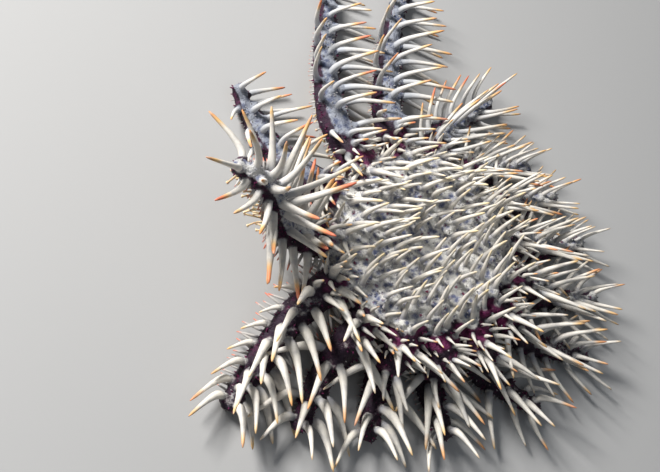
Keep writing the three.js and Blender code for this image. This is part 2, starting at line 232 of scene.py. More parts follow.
def ring_faces(rings, sides, offset=0):
    """Quads between neighbouring rings of points, closed round, as an array of corner numbers."""
    i, j = np.meshgrid(np.arange(rings - 1), np.arange(sides), indexing="ij")
    k = (j + 1) % sides
    quads = np.stack([i * sides + j, i * sides + k, (i + 1) * sides + k, (i + 1) * sides + j], -1)
    return quads.reshape(-1, 4) + offset


def skin_point(arm, s, angle, size=1.0):
    """A point on an arm: the middle, plus sine of the angle to the side and cosine of it upwards."""
    origin, forward, side, up = frames_at(arm, s)
    keel = KEEL * np.exp(-((angle / KEEL_SPREAD) ** 2))
    across = half_width(s) * arm["girth"] * SKIN_FIT * np.sin(angle) * size
    upward = half_height(s) * np.maximum(np.cos(angle) * (SKIN_FIT + keel), -FLAT_UNDERSIDE) * size
    return origin + across[..., None] * side + upward[..., None] * up


def arm_surface(arm):
    """Rings of points from inside the disc, along the arm, and round its domed tip."""
    s = np.linspace(0, 1, ARM_RINGS)
    angle = np.linspace(0, 2 * np.pi, ARM_SIDES, endpoint=False)
    angle = (angle + np.pi) % (2 * np.pi) - np.pi
    rings = skin_point(arm, s[:, None] + 0 * angle, angle + 0 * s[:, None])
    root = rings[:1] - compass(arm["azimuth"]) * ROOT_OVERLAP
    origin, forward, side, up = frames_at(arm, np.array(1.0))
    turn = np.radians(DOME_TURNS)[:, None, None]
    dome = origin + (rings[-1] - origin) * np.cos(turn) + forward * TIP_DOME * np.sin(turn)
    return np.concatenate([root, rings, dome])


print("arm 1 has", arm_surface(ARMS[0]).shape[:2], "rings and sides")

# %% The disc as a turned saucer with grooves
DISC_COLUMNS = 240
DISC_RINGS_ABOVE, DISC_RINGS_BELOW = 40, 20
HOLLOW_EDGE = 0.75
GROOVE_START, GROOVE_OVER = 0.7, 0.3
SKIN_DEPTH = 0.5 * MM
ARM_AZIMUTHS = np.array([arm["azimuth"] for arm in ARMS], float)


def groove_share(degrees):
    """0 in line with an arm, 1 half way to the next arm, and straight between."""
    ends = np.append(ARM_AZIMUTHS, ARM_AZIMUTHS[0] + 360)
    knots = np.sort(np.concatenate([ends, (ends[1:] + ends[:-1]) / 2]))
    low = knots[0]
    return np.interp((degrees - low) % 360 + low, knots, np.arange(len(knots)) % 2)


def disc_top(r):
    """Height of the disc at the share r of its radius: a hollow middle, a bulge, and a lower rim."""
    bulge = DISC_BULGE_TOP - (DISC_BULGE_TOP - DISC_CENTRE_TOP) * (1 - smooth(r / HOLLOW_EDGE))
    return bulge - (DISC_BULGE_TOP - DISC_RIM_TOP) * smooth((r - HOLLOW_EDGE) / (1 - HOLLOW_EDGE))


def disc_height(r, degrees):
    """The turned height less the dip of the grooves, which deepen towards the rim."""
    dip = GROOVE_DEPTH * smooth((r - GROOVE_START) / GROOVE_OVER) * smooth(groove_share(degrees))
    return disc_top(r) - dip


def disc_surface():
    """Rings of points from the middle of the top, over the rim, and back to the middle below."""
    degrees = np.linspace(0, 360, DISC_COLUMNS, endpoint=False)
    top_share = np.concatenate([[0.002], np.linspace(0.04, 0.98, DISC_RINGS_ABOVE)])
    low_share = np.linspace(0.98, 0.002, DISC_RINGS_BELOW)
    share = np.concatenate([top_share, low_share])
    heights = disc_height(top_share[:, None], degrees) - SKIN_DEPTH
    floor = np.full((len(low_share), DISC_COLUMNS), RIM_UNDERSIDE + SKIN_DEPTH)
    points = compass(degrees) * share[:, None, None] * RIM_RADIUS
    points[..., 2] = np.concatenate([heights, floor])
    return points[::-1] + DISC_PLACE


print("disc", disc_surface().shape[:2], "rings and columns")

# %% [markdown]
# ## Planning the spines
#
# The spines decide where the skin has its stubs, so they are planned before the skin is made. Those of
# the arms stand in four rows and lean forward more and more towards the tip. Those of the disc are
# spread like the seeds of a sunflower, and lean inwards over the hollow middle and outwards at the rim.

# %% Rows on the arms
SPINE_SPACING = 17 * MM
ROW_ANGLES = (-76, -26, 26, 76)
ARM_SPINE_LENGTH = 39 * MM
SPLIT_SHARE = 0.5
CUT_CLEARANCE = 4.5 * MM
LOWEST_TIP = 3 * MM
ROOT_ANGLES = (-34, 2, 36, -18, 20)
ROOT_STARTS = np.array([3, 3, 3, 13, 13]) * MM
ROOT_SCATTER = 6 * MM
ROOT_SWEEP = np.array([0.45, 0.05, 0.1])
ROOT_SHORTEST, ROOT_LONGEST = 0.45, 0.65
ROOT_TURN_SCATTER, ROW_TURN_SCATTER = 20, 14
ROW_START, ROW_STAGGER, ROW_SCATTER = 0.35, 0.5, 0.3
ROW_FIRST, ROW_MIDDLE, ROW_TIP_SHARE = 0.85, 1.08, 0.72
ROW_SHORTENS = 0.6
LEAN_AT_ROOT, LEAN_AT_TIP, LEAN_SCATTER = 0.1, 1.1, 0.3
SHORTEST, LONGEST = 0.9, 1.12
ROOT_IDS = 900


def clear_of_cuts(arm, s):
    """Keeps the shares of the solid model, which moves its spines away from the cuts in an arm."""
    margin = CUT_CLEARANCE / arm["length"]
    off = s - SPLIT_SHARE
    moved = np.where(np.abs(off) < margin, SPLIT_SHARE + np.where(off < 0, -margin, margin), s)
    return np.maximum(moved, margin)


def row_spines(arm):
    """Shares, angles, ids and lengths of an arm's rows, and each spine's cell of the map for baking."""
    count = int(arm["length"] / (SPINE_SPACING * arm["close"]) + 1e-6)
    row, i = np.meshgrid(np.arange(len(ROW_ANGLES)), np.arange(count), indexing="ij")
    row, i = row.ravel(), i.ravel()
    ids = arm["number"] * 1000 + row * 100 + i
    s = (i + ROW_START + ROW_STAGGER * (row % 2) + ROW_SCATTER * wobble(ids)) / count
    s = clear_of_cuts(arm, s)
    turn = np.take(ROW_ANGLES, row) + arm["roll"] + ROW_TURN_SCATTER * wobble(ids + 0.3)
    angle = np.radians(turn)
    grown = mix(ROW_FIRST, ROW_MIDDLE, smooth(s / 0.5))
    grown = grown * mix(1, ROW_TIP_SHARE, smooth((s - ROW_SHORTENS) / 0.4))
    is_last_row = row == len(ROW_ANGLES) - 1
    flank = mix(arm["flank"], 1, smooth((s - ROW_SHORTENS) / 0.3))
    grown *= np.where(is_last_row, flank, 1)
    cell = np.stack([(row + 0.5) / len(ROW_ANGLES), 0.1 + 0.9 * (i + 0.5) / count], -1)
    size = np.tile([0.8 / len(ROW_ANGLES), 0.72 / count], (len(ids), 1))
    return s, angle, ids, grown, cell, size


def root_spines(arm):
    """The same for the few short spines that stand across an arm's root."""
    k = np.arange(len(ROOT_ANGLES))
    ids = arm["number"] * 1000 + ROOT_IDS + k
    s = clear_of_cuts(arm, (ROOT_STARTS + ROOT_SCATTER * scatter(ids)) / arm["length"])
    angle = np.radians(np.array(ROOT_ANGLES) + ROOT_TURN_SCATTER * wobble(ids + 0.3))
    grown = mix(ROOT_SHORTEST, ROOT_LONGEST, scatter(ids + 0.7))
    cell = np.stack([(k + 0.5) / len(ROOT_ANGLES), np.full(len(k), 0.05)], -1)
    size = np.tile([0.8 / len(ROOT_ANGLES), 0.07], (len(ids), 1))
    return s, angle, ids, grown, cell, size


def arm_spines(arm):
    """Roots, skin directions, aims, lengths and map cells of all of one arm's spines."""
    both = zip(row_spines(arm), root_spines(arm))
    s, angle, ids, grown, cell, size = (np.concatenate(pair) for pair in both)
    origin, forward, side, up = frames_at(arm, s)
    normal = np.sin(angle)[:, None] * side + np.cos(angle)[:, None] * up
    lean = mix(LEAN_AT_ROOT, LEAN_AT_TIP, s * s) + LEAN_SCATTER * wobble(ids + 0.6)
    at_root = (ids % 1000 >= ROOT_IDS)[:, None]
    sweep = np.where(at_root, ROOT_SWEEP, np.array(arm["sweep"]))
    aim = unit(normal + arm["rake"] * lean[:, None] * forward + sweep)
    length = ARM_SPINE_LENGTH * arm["reach"] * grown * mix(SHORTEST, LONGEST, scatter(ids + 0.9))
    root = skin_point(arm, s, angle)
    return dict(root=root, normal=normal, aim=aim, length=length, ids=ids, cell=cell, size=size)


print("arm 1 is planned with", len(arm_spines(ARMS[0])["ids"]), "spines")

# %% Seeds on the disc
DISC_SPINE_COUNT = 145
DISC_SPINE_REACH = 0.96
DISC_SPINE_LENGTH = 27 * MM
DISC_SIDEWAYS = 0.6
DISC_TIPPING = 0.17
DISC_RUFFLE = 0.6
DISC_STUB_LEAN = np.array([-0.5, -0.1, 0.0])
GOLDEN_TURN = 137.508
CENTRE_CLEAR = 4
DISC_TURN_SCATTER = 8
OUTER_START, OUTER_OVER, OUTER_SHARE = 0.88, 0.1, 0.6
OUTWARD_LEAN = 0.75
DISC_PATCH = 0.05


def disc_spines():
    """The same fields for the disc: radius grows as the square root of the number, by golden turns."""
    i = np.arange(CENTRE_CLEAR, DISC_SPINE_COUNT)
    r = DISC_SPINE_REACH * np.sqrt((i + 0.5) / DISC_SPINE_COUNT)
    degrees = i * GOLDEN_TURN + DISC_TURN_SCATTER * wobble(i + 0.2)
    out = compass(degrees)
    root = out * (r * RIM_RADIUS)[:, None] + DISC_PLACE
    root[:, 2] = disc_height(r, degrees) - SKIN_DEPTH
    inner = 1 - OUTER_SHARE * smooth((r - OUTER_START) / OUTER_OVER)
    lean = mix(OUTWARD_LEAN, 0.0, inner)[:, None] * out
    lean[:, 0] += inner * (-DISC_SIDEWAYS * r * out[:, 0] + DISC_RUFFLE * wobble(i + 0.5))
    lean[:, 1] += inner * (DISC_TIPPING + DISC_RUFFLE * wobble(i + 0.65))
    aim = unit(UP + lean)
    normal = unit(UP + lean + inner[:, None] * DISC_STUB_LEAN)
    length = DISC_SPINE_LENGTH * mix(0.88, 1.1, scatter(i + 0.8)) * mix(1, 1.15, r)
    cell = 0.5 + 0.47 * out[:, :2] * r[:, None]
    size = np.full((len(i), 2), DISC_PATCH)
    return dict(root=root, normal=normal, aim=aim, length=length, ids=i, cell=cell, size=size)


print("the disc is planned with", len(disc_spines()["ids"]), "spines")

# %% [markdown]
# ## Room between the spines
#
# Living spines stand clear of each other and of the next arm. Testing the finished meshes against each
# other would find where they meet, but slowly. A spine is almost a straight line, so the distance
# between lines is enough: a spine that comes too near to flesh, or to a spine kept before it, is left out.

# %% Leaving out spines that would run through flesh or through each other
FLESH_MARGIN = 1.5 * MM
SPINE_MARGIN = 2.2 * MM
NEIGHBOUR_REACH = 80 * MM


def meets_other_flesh(spines, own_arm):
    """True where a point on a spine lies nearer to another arm's middle than that arm's half width."""
    t = np.linspace(0.2, 1, 9)[None, :, None]
    points = spines["root"][:, None] + t * (spines["aim"] * spines["length"][:, None])[:, None]
    hit = np.zeros(len(points), bool)
    shares = np.linspace(0, 1, LINE_STEPS + 1)
    for arm in ARMS:
        if arm is own_arm:
            continue
        offset = points[:, :, None] - arm["line"]
        reach = half_width(shares) * arm["girth"] + FLESH_MARGIN
        level = np.linalg.norm(offset[..., :2], axis=-1) / reach
        rise = offset[..., 2] / (half_height(shares) + FLESH_MARGIN)
        hit |= (np.hypot(level, rise) < 1).any((1, 2))
    if own_arm is not None:
        flat = points - DISC_PLACE
        r = np.linalg.norm(flat[..., :2], axis=-1) / RIM_RADIUS
        hit |= ((r < 1.0) & (flat[..., 2] < disc_top(np.minimum(r, 1)) + FLESH_MARGIN)).any(1)
    return hit


def crossing(root, tip, margin):
    """Walks through the spines and drops each that passes within the margin of one kept before it."""
    t = np.linspace(0.1, 1, 10)
    points = root[:, None] + t[None, :, None] * (tip - root)[:, None]
    dropped = np.zeros(len(root), bool)
    for n in range(1, len(root)):
        close = np.linalg.norm(root[:n] - root[n], axis=1) < NEIGHBOUR_REACH
        near = np.flatnonzero(close & ~dropped[:n])
        line = points[n][-1] - points[n][0]
        offset = points[near] - points[n][0]
        along = np.clip((offset @ line) / (line @ line), 0, 1)
        gap = np.linalg.norm(offset - along[..., None] * line, axis=-1)
        dropped[n] = (gap < margin).any()
    return dropped


def only(spines, keep):
    """The same fields, for the spines that are kept."""
    return {field: values[keep] for field, values in spines.items()}


groups = {"arm_%02d" % arm["number"]: (arm_spines(arm), arm) for arm in ARMS}
groups["disc"] = (disc_spines(), None)
for name, (spines, arm) in groups.items():
    groups[name] = (only(spines, ~meets_other_flesh(spines, arm)), arm)

planned = [spines for spines, arm in groups.values()]
root = np.concatenate([spines["root"] for spines in planned])
reach = np.concatenate([spines["aim"] * spines["length"][:, None] for spines in planned])
dropped = crossing(root, root + reach, SPINE_MARGIN)
first = 0
for name, (spines, arm) in groups.items():
    count = len(spines["ids"])
    groups[name] = (only(spines, ~dropped[first : first + count]), arm)
    first += count
print(len(root) - dropped.sum(), "spines kept,", dropped.sum(), "dropped")

# %% [markdown]
# ## Bundles of small tubes
#
# Spines, stubs and feet are all small round bodies with a profile, repeated hundreds of times. One
# helper makes a whole bundle at once: a bent middle line for each, a radius at each place along it,
# and a ring of points round each place.

# %% A bundle of tubes
def bent_lines(root, bend, tip, t):
    """Points on a curve with one bend for each tube: the square of what is left times the root, twice
    the product times the bend, and the square of what is done times the tip."""
    t = np.asarray(t)[None, :, None]
    return (1 - t) ** 2 * root[:, None] + 2 * t * (1 - t) * bend[:, None] + t**2 * tip[:, None]


def knee_lines(root, knee, shaft, tip, t):
    """Points on a curve that starts towards the knee and ends coming from the shaft point: the four
    places are weighed by 1, 3, 3 and 1 times the powers of what is left and what is done."""
    t = np.asarray(t)[None, :, None]
    start = (1 - t) ** 3 * root[:, None] + 3 * t * (1 - t) ** 2 * knee[:, None]
    return start + 3 * t**2 * (1 - t) * shaft[:, None] + t**3 * tip[:, None]


def tube_bundle(lines, radii, sides):
    """Each ring is its middle, plus the radius times cosine and sine along two cross directions."""
    span = unit(lines[:, -1] - lines[:, 0])
    helper = np.where(np.abs(span[:, 2:]) > 0.9, [[1.0, 0, 0]], [[0, 0, 1.0]])
    across = unit(np.cross(span, helper))
    over = np.cross(span, across)
    turn = np.linspace(0, 2 * np.pi, sides, endpoint=False)[None, None, :, None]
    spokes = np.cos(turn) * across[:, None, None] + np.sin(turn) * over[:, None, None]
    points = lines[:, :, None] + radii[:, :, None, None] * spokes
    count, rings = lines.shape[:2]
    quads = ring_faces(rings, sides)
    quads = quads[None] + (np.arange(count) * rings * sides)[:, None, None]
    ends = np.arange(sides)[None] + (np.arange(count) * rings * sides)[:, None]
    return points.reshape(-1, 3), quads.reshape(-1, 4), ends[:, ::-1], ends + (rings - 1) * sides


def placed(name, data):
    """An object with the given data, put into the scene at the origin."""
    piece = bpy.data.objects.new(name, data)
    bpy.context.collection.objects.link(piece)
    return piece


def make_mesh(name, points, face_sets):
    """A mesh object from an array of points and arrays of faces, each array with its own corner count."""
    mesh = bpy.data.meshes.new(name)
    faces = [face for faces in face_sets for face in faces.tolist()]
    mesh.from_pydata(points.tolist(), [], faces)
    mesh.polygons.foreach_set("use_smooth", np.ones(len(mesh.polygons), bool))
    mesh.update()
    return placed(name, mesh)


# %% [markdown]
# ## One skin
#
# A living skin has no seam between disc and arm. The tubes, the saucer and a stub under each spine are
# thrown together, and a voxel remesh then keeps only their common outside. A short smoothing rounds
# the creases, as skin does. Joining them with booleans would keep every crease sharp.

# %% Stubs under the spines
STUB_SIDES = 8
STUB_TALL = 4.6 * MM
STUB_SUNK = 4.0 * MM
STUB_RADII = np.array([5.4, 5.4, 5.0, 3.7, 2.9, 2.4, 1.0]) * MM
STUB_PLACES = np.array([0, 0.3, 0.48, 0.62, 0.8, 0.95, 1.0])
SMALLEST_STUB = 0.75


def stub_parts():
    """One short tube for each spine, from inside the flesh to a little way up the spine."""
    parts = []
    for spines, arm in groups.values():
        fit = mix(SMALLEST_STUB, 1.0, smooth(spines["length"] / ARM_SPINE_LENGTH))
        low = spines["root"] - spines["normal"] * STUB_SUNK
        high = spines["root"] + spines["normal"] * (STUB_TALL * fit)[:, None]
        lines = bent_lines(low, (low + high) / 2, high, STUB_PLACES)
        parts.append(tube_bundle(lines, STUB_RADII[None] * fit[:, None], STUB_SIDES))
    return parts


# %% Fusing everything into one skin
VOXEL = 1.25 * MM
SKIN_SMOOTHING = 4
SKIN_TRIANGLES = 190_000


def closed_tube(points):
    """A grid of rings with a flat face over each end."""
    rings, sides = points.shape[:2]
    first_end = np.arange(sides)[None, ::-1]
    last_end = np.arange(sides)[None] + (rings - 1) * sides
    return points.reshape(-1, 3), ring_faces(rings, sides), first_end, last_end


def fused(name, parts, voxel, smoothing):
    """Joins closed parts, keeps their common outside on a grid of cubes, and smooths it."""
    points, face_sets, offset = [], [], 0
    for part in parts:
        points.append(part[0])
        face_sets.extend(faces + offset for faces in part[1:])
        offset += len(part[0])
    rough = make_mesh(name + "_rough", np.concatenate(points), face_sets)
    remesh = rough.modifiers.new("fuse", "REMESH")
    remesh.mode = "VOXEL"
    remesh.voxel_size = voxel
    soften = rough.modifiers.new("soften", "SMOOTH")
    soften.factor = 0.5
    soften.iterations = smoothing
    dense = len(rough.evaluated_get(bpy.context.evaluated_depsgraph_get()).data.polygons) * 2
    thin = rough.modifiers.new("thin", "DECIMATE")
    thin.ratio = min(1.0, SKIN_TRIANGLES / dense)
    shape = rough.evaluated_get(bpy.context.evaluated_depsgraph_get())
    mesh = bpy.data.meshes.new_from_object(shape)
    mesh.name = name
    mesh.polygons.foreach_set("use_smooth", np.ones(len(mesh.polygons), bool))
    bpy.data.objects.remove(rough)
    return placed(name, mesh)


flesh_parts = [closed_tube(arm_surface(arm)) for arm in ARMS] + [closed_tube(disc_surface())]
skin = fused("skin", flesh_parts + stub_parts(), VOXEL, SKIN_SMOOTHING)
print("skin has", len(skin.data.polygons), "faces")

# %% [markdown]
# ## Uneven skin
#
# The skin is stretched over a net of little plates, so it is nowhere quite smooth. A bump in the
# material would not show at the outline. The points themselves are therefore moved in and out by a sum
# of waves in different directions, which is cheap and gives the same lumps on each run.

# %% Lumps
LUMP_HEIGHT = 0.42 * MM
LUMP_WAVES = 14
SHORTEST_LUMP, LONGEST_LUMP = 4 * MM, 13 * MM
FLOOR_CLEARANCE = 0.3 * MM


def points_of(piece):
    """All points of a piece as one array."""
    flat = np.empty(len(piece.data.vertices) * 3)
    piece.data.vertices.foreach_get("co", flat)
    return flat.reshape(-1, 3)


def normals_of(piece):
    """The skin direction at all points of a piece as one array."""
    flat = np.empty(len(piece.data.vertices) * 3)
    piece.data.vertex_normals.foreach_get("vector", flat)
    return flat.reshape(-1, 3)


def lumps(points):
    """The sum of sine waves, each along its own direction and with its own length, as a height."""
    ids = np.arange(LUMP_WAVES)
    directions = unit(np.stack([wobble(ids + shift) for shift in (0.1, 0.4, 0.7)], -1))
    lengths = mix(SHORTEST_LUMP, LONGEST_LUMP, scatter(ids + 0.25))
    phase = points @ (directions / lengths[:, None]).T * 2 * np.pi + scatter(ids + 0.55) * 6
    return np.sin(phase).sum(1) / math.sqrt(LUMP_WAVES / 2)


skin_points = points_of(skin)
skin_points += normals_of(skin) * (lumps(skin_points) * LUMP_HEIGHT)[:, None]
skin_points[:, 2] = np.maximum(skin_points[:, 2], FLOOR_CLEARANCE)
skin.data.vertices.foreach_set("co", skin_points.ravel())
skin.data.update()
sample = lumps(skin_points[::50])
print("lumps from", sample.min().round(2), "to", sample.max().round(2))

# %% [markdown]
# ## Where on the body each point of skin lies
#
# The colours follow the body: pale on the disc and along the ridge of each arm, dark between. Painting
# that by hand would lose the link to the shape. Each skin point is therefore matched to the nearest
# arm, and from its share of the length and its angle round the arm come the masks that the material
# reads.

# %% Matching skin points to the arms
ARM_REACH = 20 * MM


def locate(points):
    """For each point: the nearest arm's number, the share along it and the angle round it. Nearest is
    where the offset, divided by the arm's half width and half height, is the shortest."""
    best = np.full(len(points), np.inf)
    number = np.zeros(len(points), int)
    share = np.zeros(len(points))
    angle = np.zeros(len(points))
    for arm in ARMS:
        low, high = arm["line"].min(0) - ARM_REACH, arm["line"].max(0) + ARM_REACH
        index = np.flatnonzero(((points > low) & (points < high)).all(1))
        local = points[index]
        gap = np.linalg.norm(local[:, None] - arm["line"][None, ::2], axis=-1)
        s = gap.argmin(1) * 2 / LINE_STEPS
        origin, forward, side, up = frames_at(arm, s)
        s = np.clip(s + ((local - origin) * forward).sum(1) / arm["length"], 0, 1)
        origin, forward, side, up = frames_at(arm, s)
        offset = local - origin
        across = (offset * side).sum(1) / (half_width(s) * arm["girth"])
        upward = (offset * up).sum(1) / half_height(s)
        ahead = (offset * forward).sum(1) / half_height(s)
        ratio = np.sqrt(across**2 + upward**2 + ahead**2)
        closer = ratio < best[index]
        best[index[closer]] = ratio[closer]
        number[index[closer]] = arm["number"]
        share[index[closer]] = s[closer]
        angle[index[closer]] = np.arctan2(across, upward)[closer]
    return number, share, angle


def nearness(points, anchors, spread):
    """1 at an anchor, falling to 0 at the spread and beyond it."""
    tree = KDTree(len(anchors))
    for n, anchor in enumerate(anchors):
        tree.insert(anchor, n)
    tree.balance()
    gap = np.array([tree.find(point)[2] for point in points])
    return 1 - smooth(gap / spread)


def put_attribute(piece, name, values):
    """Stores one number for each point of a piece."""
    layer = piece.data.attributes.new(name, "FLOAT", "POINT")
    layer.data.foreach_set("value", np.asarray(values, np.float32).ravel())


# %% Masks for the colours
PALE_CENTRE = DISC_PLACE + np.array([-5, 3, 0]) * MM
PALE_HALF_WIDTH = 72 * MM
PALE_HALF_LENGTH = 84 * MM
BORDER_WAVE, BORDER_SCALE = 0.05, 0.4
BORDER_START, BORDER_OVER = 0.86, 0.24
ARM_FADE = 8 * MM
RIDGE_HALF_ANGLE = 0.62
RIDGE_START, RIDGE_FADE = 0.07, 0.13
ROSY_REACH = 27 * MM
STUB_REACH = 7 * MM
EYE_REACH = 5 * MM
BELOW_ANGLE, BELOW_FADE = 2.0, 0.4
BELOW_MARGIN = 4 * MM


def disc_paleness(points):
    """1 inside an oval on the disc and 0 outside it: the two distances squared and added."""
    flat = (points - PALE_CENTRE)[:, :2] / [PALE_HALF_WIDTH, PALE_HALF_LENGTH]
    edge = BORDER_START + BORDER_WAVE * lumps(points * BORDER_SCALE)
    return 1 - smooth((np.hypot(flat[:, 0], flat[:, 1]) - edge) / BORDER_OVER)


number, share, angle = locate(skin_points)
strength = np.array([1.0] + [arm["pale"] for arm in ARMS])[number]
disc_offset = np.linalg.norm((skin_points - DISC_PLACE)[:, :2], axis=1)
on_arm = smooth((disc_offset - RIM_RADIUS) / ARM_FADE) * (number > 0)
ridge = (1 - smooth((np.abs(angle) - RIDGE_HALF_ANGLE * 0.6) / RIDGE_HALF_ANGLE)) * on_arm * strength
ridge *= smooth((share - RIDGE_START) / RIDGE_FADE)
underside = (1 - on_arm) * (skin_points[:, 2] < RIM_UNDERSIDE + BELOW_MARGIN)
below = np.maximum(smooth((np.abs(angle) - BELOW_ANGLE) / BELOW_FADE) * on_arm, underside)
stub_tops = np.concatenate([g["root"] + g["normal"] * STUB_TALL * 0.8 for g, arm in groups.values()])
stub = nearness(skin_points, stub_tops, STUB_REACH)
put_attribute(skin, "pale", np.maximum(ridge, disc_paleness(skin_points) * (1 - underside)))
# Painted blue shade: each arm's share of it, which makes its skin bluer and darker.
cool = np.array([0.0] + [arm["cool"] for arm in ARMS])[number]
put_attribute(skin, "cool", cool * on_arm * smooth(share / 0.12))
put_attribute(skin, "stub", stub)
blush = 1 - smooth((disc_offset - RIM_RADIUS) / ROSY_REACH)
put_attribute(skin, "rosy", blush * (0.6 + 0.4 * lumps(skin_points * 0.6)))
put_attribute(skin, "below", below)
put_attribute(skin, "eye", nearness(skin_points, [arm["line"][-1] for arm in ARMS], EYE_REACH))
print("skin masks done, mean paleness", ridge.mean().round(3))

# %% [markdown]
# ## The spines
#
# A spine is stout just above its stub and tapers to a sharp point. It leaves the skin along the skin's
# own direction and bends once, near the root, to where it aims. Each has a few dozen faces, which is
# enough because smooth shading rounds them, and its own patch of the map used for baking.

# %% Shape of a spine
SPINE_SIDES = 8
SPINE_PLACES = np.array([0, 0.12, 0.22, 0.33, 0.48, 0.66, 0.84, 0.95, 1.0])
CLUB_PROFILE = np.array([0.85, 0.95, 1.03, 1.0, 0.85, 0.65, 0.46, 0.33, 0.12])
THORN_PROFILE = np.array([1.0, 0.97, 0.92, 0.84, 0.73, 0.6, 0.46, 0.35, 0.14])
ARM_SPINE_RADIUS = 2.8 * MM
DISC_SPINE_RADIUS = 2.9 * MM
SPINE_SUNK = 1.0 * MM
KNEE_SHARE = 0.27
SPINE_ENDS = (0.04, 0.55)


def map_tubes(piece, cells, sizes, rings, sides, ends):
    """Lays each tube on its own patch of the map for baking: round it in one direction and up it in the
    other. Its two ends are small rings, of the given radius and this far from the patch's middle."""
    layer = piece.data.uv_layers.new(name="OFBake")
    i, j = np.meshgrid(np.arange(rings - 1), np.arange(sides), indexing="ij")
    u = np.stack([j, j + 1, j + 1, j], -1).reshape(-1, 4) / sides - 0.5
    v = np.stack([i, i, i + 1, i + 1], -1).reshape(-1, 4) / (rings - 1) - 0.5
    patch = np.stack([u, v], -1).reshape(1, -1, 2)
    quads = cells[:, None] + patch * sizes[:, None]
    turn = np.linspace(0, 2 * np.pi, sides, endpoint=False)
    small = np.stack([np.cos(turn), np.sin(turn)], -1) * ends[0]
    low = cells[:, None] + (small - [0, ends[1]]) * sizes[:, None]
    high = cells[:, None] + (small + [0, ends[1]]) * sizes[:, None]
    layer.data.foreach_set("uv", np.concatenate([quads.ravel(), low.ravel(), high.ravel()]))


def mark_tubes(piece, shape, **numbers):
    """Stores numbers for every point, each spread over the shape: tubes, rings and sides."""
    for name, values in numbers.items():
        put_attribute(piece, name, np.broadcast_to(values, shape))


def plant_spines(name, spines, radius, profile, warm, cool):
    """Makes one piece of all the spines of a group, with attributes along each and for each."""
    low = spines["root"] - spines["normal"] * SPINE_SUNK
    tip = spines["root"] + spines["aim"] * spines["length"][:, None]
    tip[:, 2] = np.maximum(tip[:, 2], LOWEST_TIP)
    reach = (KNEE_SHARE * spines["length"])[:, None]
    knee = low + spines["normal"] * reach
    shaft = knee + unit(tip - knee) * reach
    lines = knee_lines(low, knee, shaft, tip, SPINE_PLACES)
    stout = radius * np.sqrt(spines["length"] / ARM_SPINE_LENGTH)
    stout = stout * mix(0.88, 1.1, scatter(spines["ids"] + 0.45))
    parts = tube_bundle(lines, stout[:, None] * profile, SPINE_SIDES)
    piece = make_mesh(name, parts[0], parts[1:])
    rings = len(SPINE_PLACES)
    along = SPINE_PLACES[None, :, None]
    tone = scatter(spines["ids"] + 0.15)[:, None, None]
    shape = (len(stout), rings, SPINE_SIDES)
    mark_tubes(piece, shape, along=along, tone=tone, warm=warm, cool=cool)
    map_tubes(piece, spines["cell"], spines["size"], rings, SPINE_SIDES, SPINE_ENDS)
    return piece


spine_pieces = []
for name, (spines, arm) in groups.items():
    radius = ARM_SPINE_RADIUS * arm["stout"] if arm else DISC_SPINE_RADIUS
    profile = CLUB_PROFILE if arm and arm["sweep"] is HANGING else THORN_PROFILE
    warm, cool = (arm["warm"], arm["cool"]) if arm else (0.0, 0.0)
    spine_pieces.append(plant_spines("spines_" + name, spines, radius, profile, warm, cool))
print(len(spine_pieces), "groups of spines,", sum(len(p.data.polygons) for p in spine_pieces), "faces")

# %% Short thorns on the rim of the disc
RIM_BAND = np.array([72, 94]) * MM
RIM_TRIALS = 1200
RIM_APART = 6.5 * MM
RIM_LENGTH = 12 * MM
RIM_COLUMNS = 16


def apart(points, distance):
    """Goes through the points and keeps each that is far enough from all those kept before it."""
    kept = np.zeros(len(points), bool)
    for n, point in enumerate(points):
        gaps = np.linalg.norm(points[kept] - point, axis=1)
        kept[n] = not (gaps < distance).any()
    return kept


def rim_thorns():
    """Places taken from the skin itself, away from the stubs, with the fields of the other spines."""
    in_band = (disc_offset > RIM_BAND[0]) & (disc_offset < RIM_BAND[1])
    free = np.flatnonzero(in_band & (below < 0.1) & (stub < 0.1))
    tried = free[(scatter(np.arange(RIM_TRIALS) * 2.3) * len(free)).astype(int)]
    chosen = tried[apart(skin_points[tried], RIM_APART)]
    n = np.arange(len(chosen))
    ids = 90000 + n
    normal = normals_of(skin)[chosen]
    aim = unit(normal + ROOT_SWEEP)
    length = RIM_LENGTH * mix(0.7, 1.35, scatter(ids))
    rows = len(n) // RIM_COLUMNS + 1
    cell = np.stack([(n % RIM_COLUMNS + 0.5) / RIM_COLUMNS, (n // RIM_COLUMNS + 0.5) / rows], -1)
    size = np.tile([0.8 / RIM_COLUMNS, 0.72 / rows], (len(n), 1))
    root = skin_points[chosen]
    return dict(root=root, normal=normal, aim=aim, length=length, ids=ids, cell=cell, size=size)


thorns = rim_thorns()
spine_pieces.append(plant_spines("spines_rim", thorns, DISC_SPINE_RADIUS, CLUB_PROFILE, 0.3, 0.0))
print(len(thorns["ids"]), "thorns on the rim")

# %% [markdown]
# ## The combs, feet and pegs
#
# Along each side of an arm's underside stands a comb of small blunt spines. Between the combs, two
# rows of soft tube feet with a sucker at the end reach down where the arm is off the floor. The rest of
# the skin carries tiny pegs. Each could be modelled once and copied, but then all would be alike. These
# are all bundles of the same kind of tube, each with its own length, aim and profile.

# %% Laying small tubes on a map
SMALL_PATCH = 0.003
SMALL_ENDS = (0.4, 0.0)


def small_tubes(name, lines, radii, sides, places, ids):
    """One piece of many tubes, with the share along each and a number for each as attributes."""
    parts = tube_bundle(lines, radii, sides)
    piece = make_mesh(name, parts[0], parts[1:])
    rings = lines.shape[1]
    along = np.linspace(0, 1, rings)[None, :, None]
    tone = scatter(ids)[:, None, None]
    mark_tubes(piece, (len(lines), rings, sides), along=along, tone=tone, warm=1.0, cool=0.0)
    sizes = np.full((len(lines), 2), SMALL_PATCH)
    map_tubes(piece, places, sizes, rings, sides, SMALL_ENDS)
    return piece


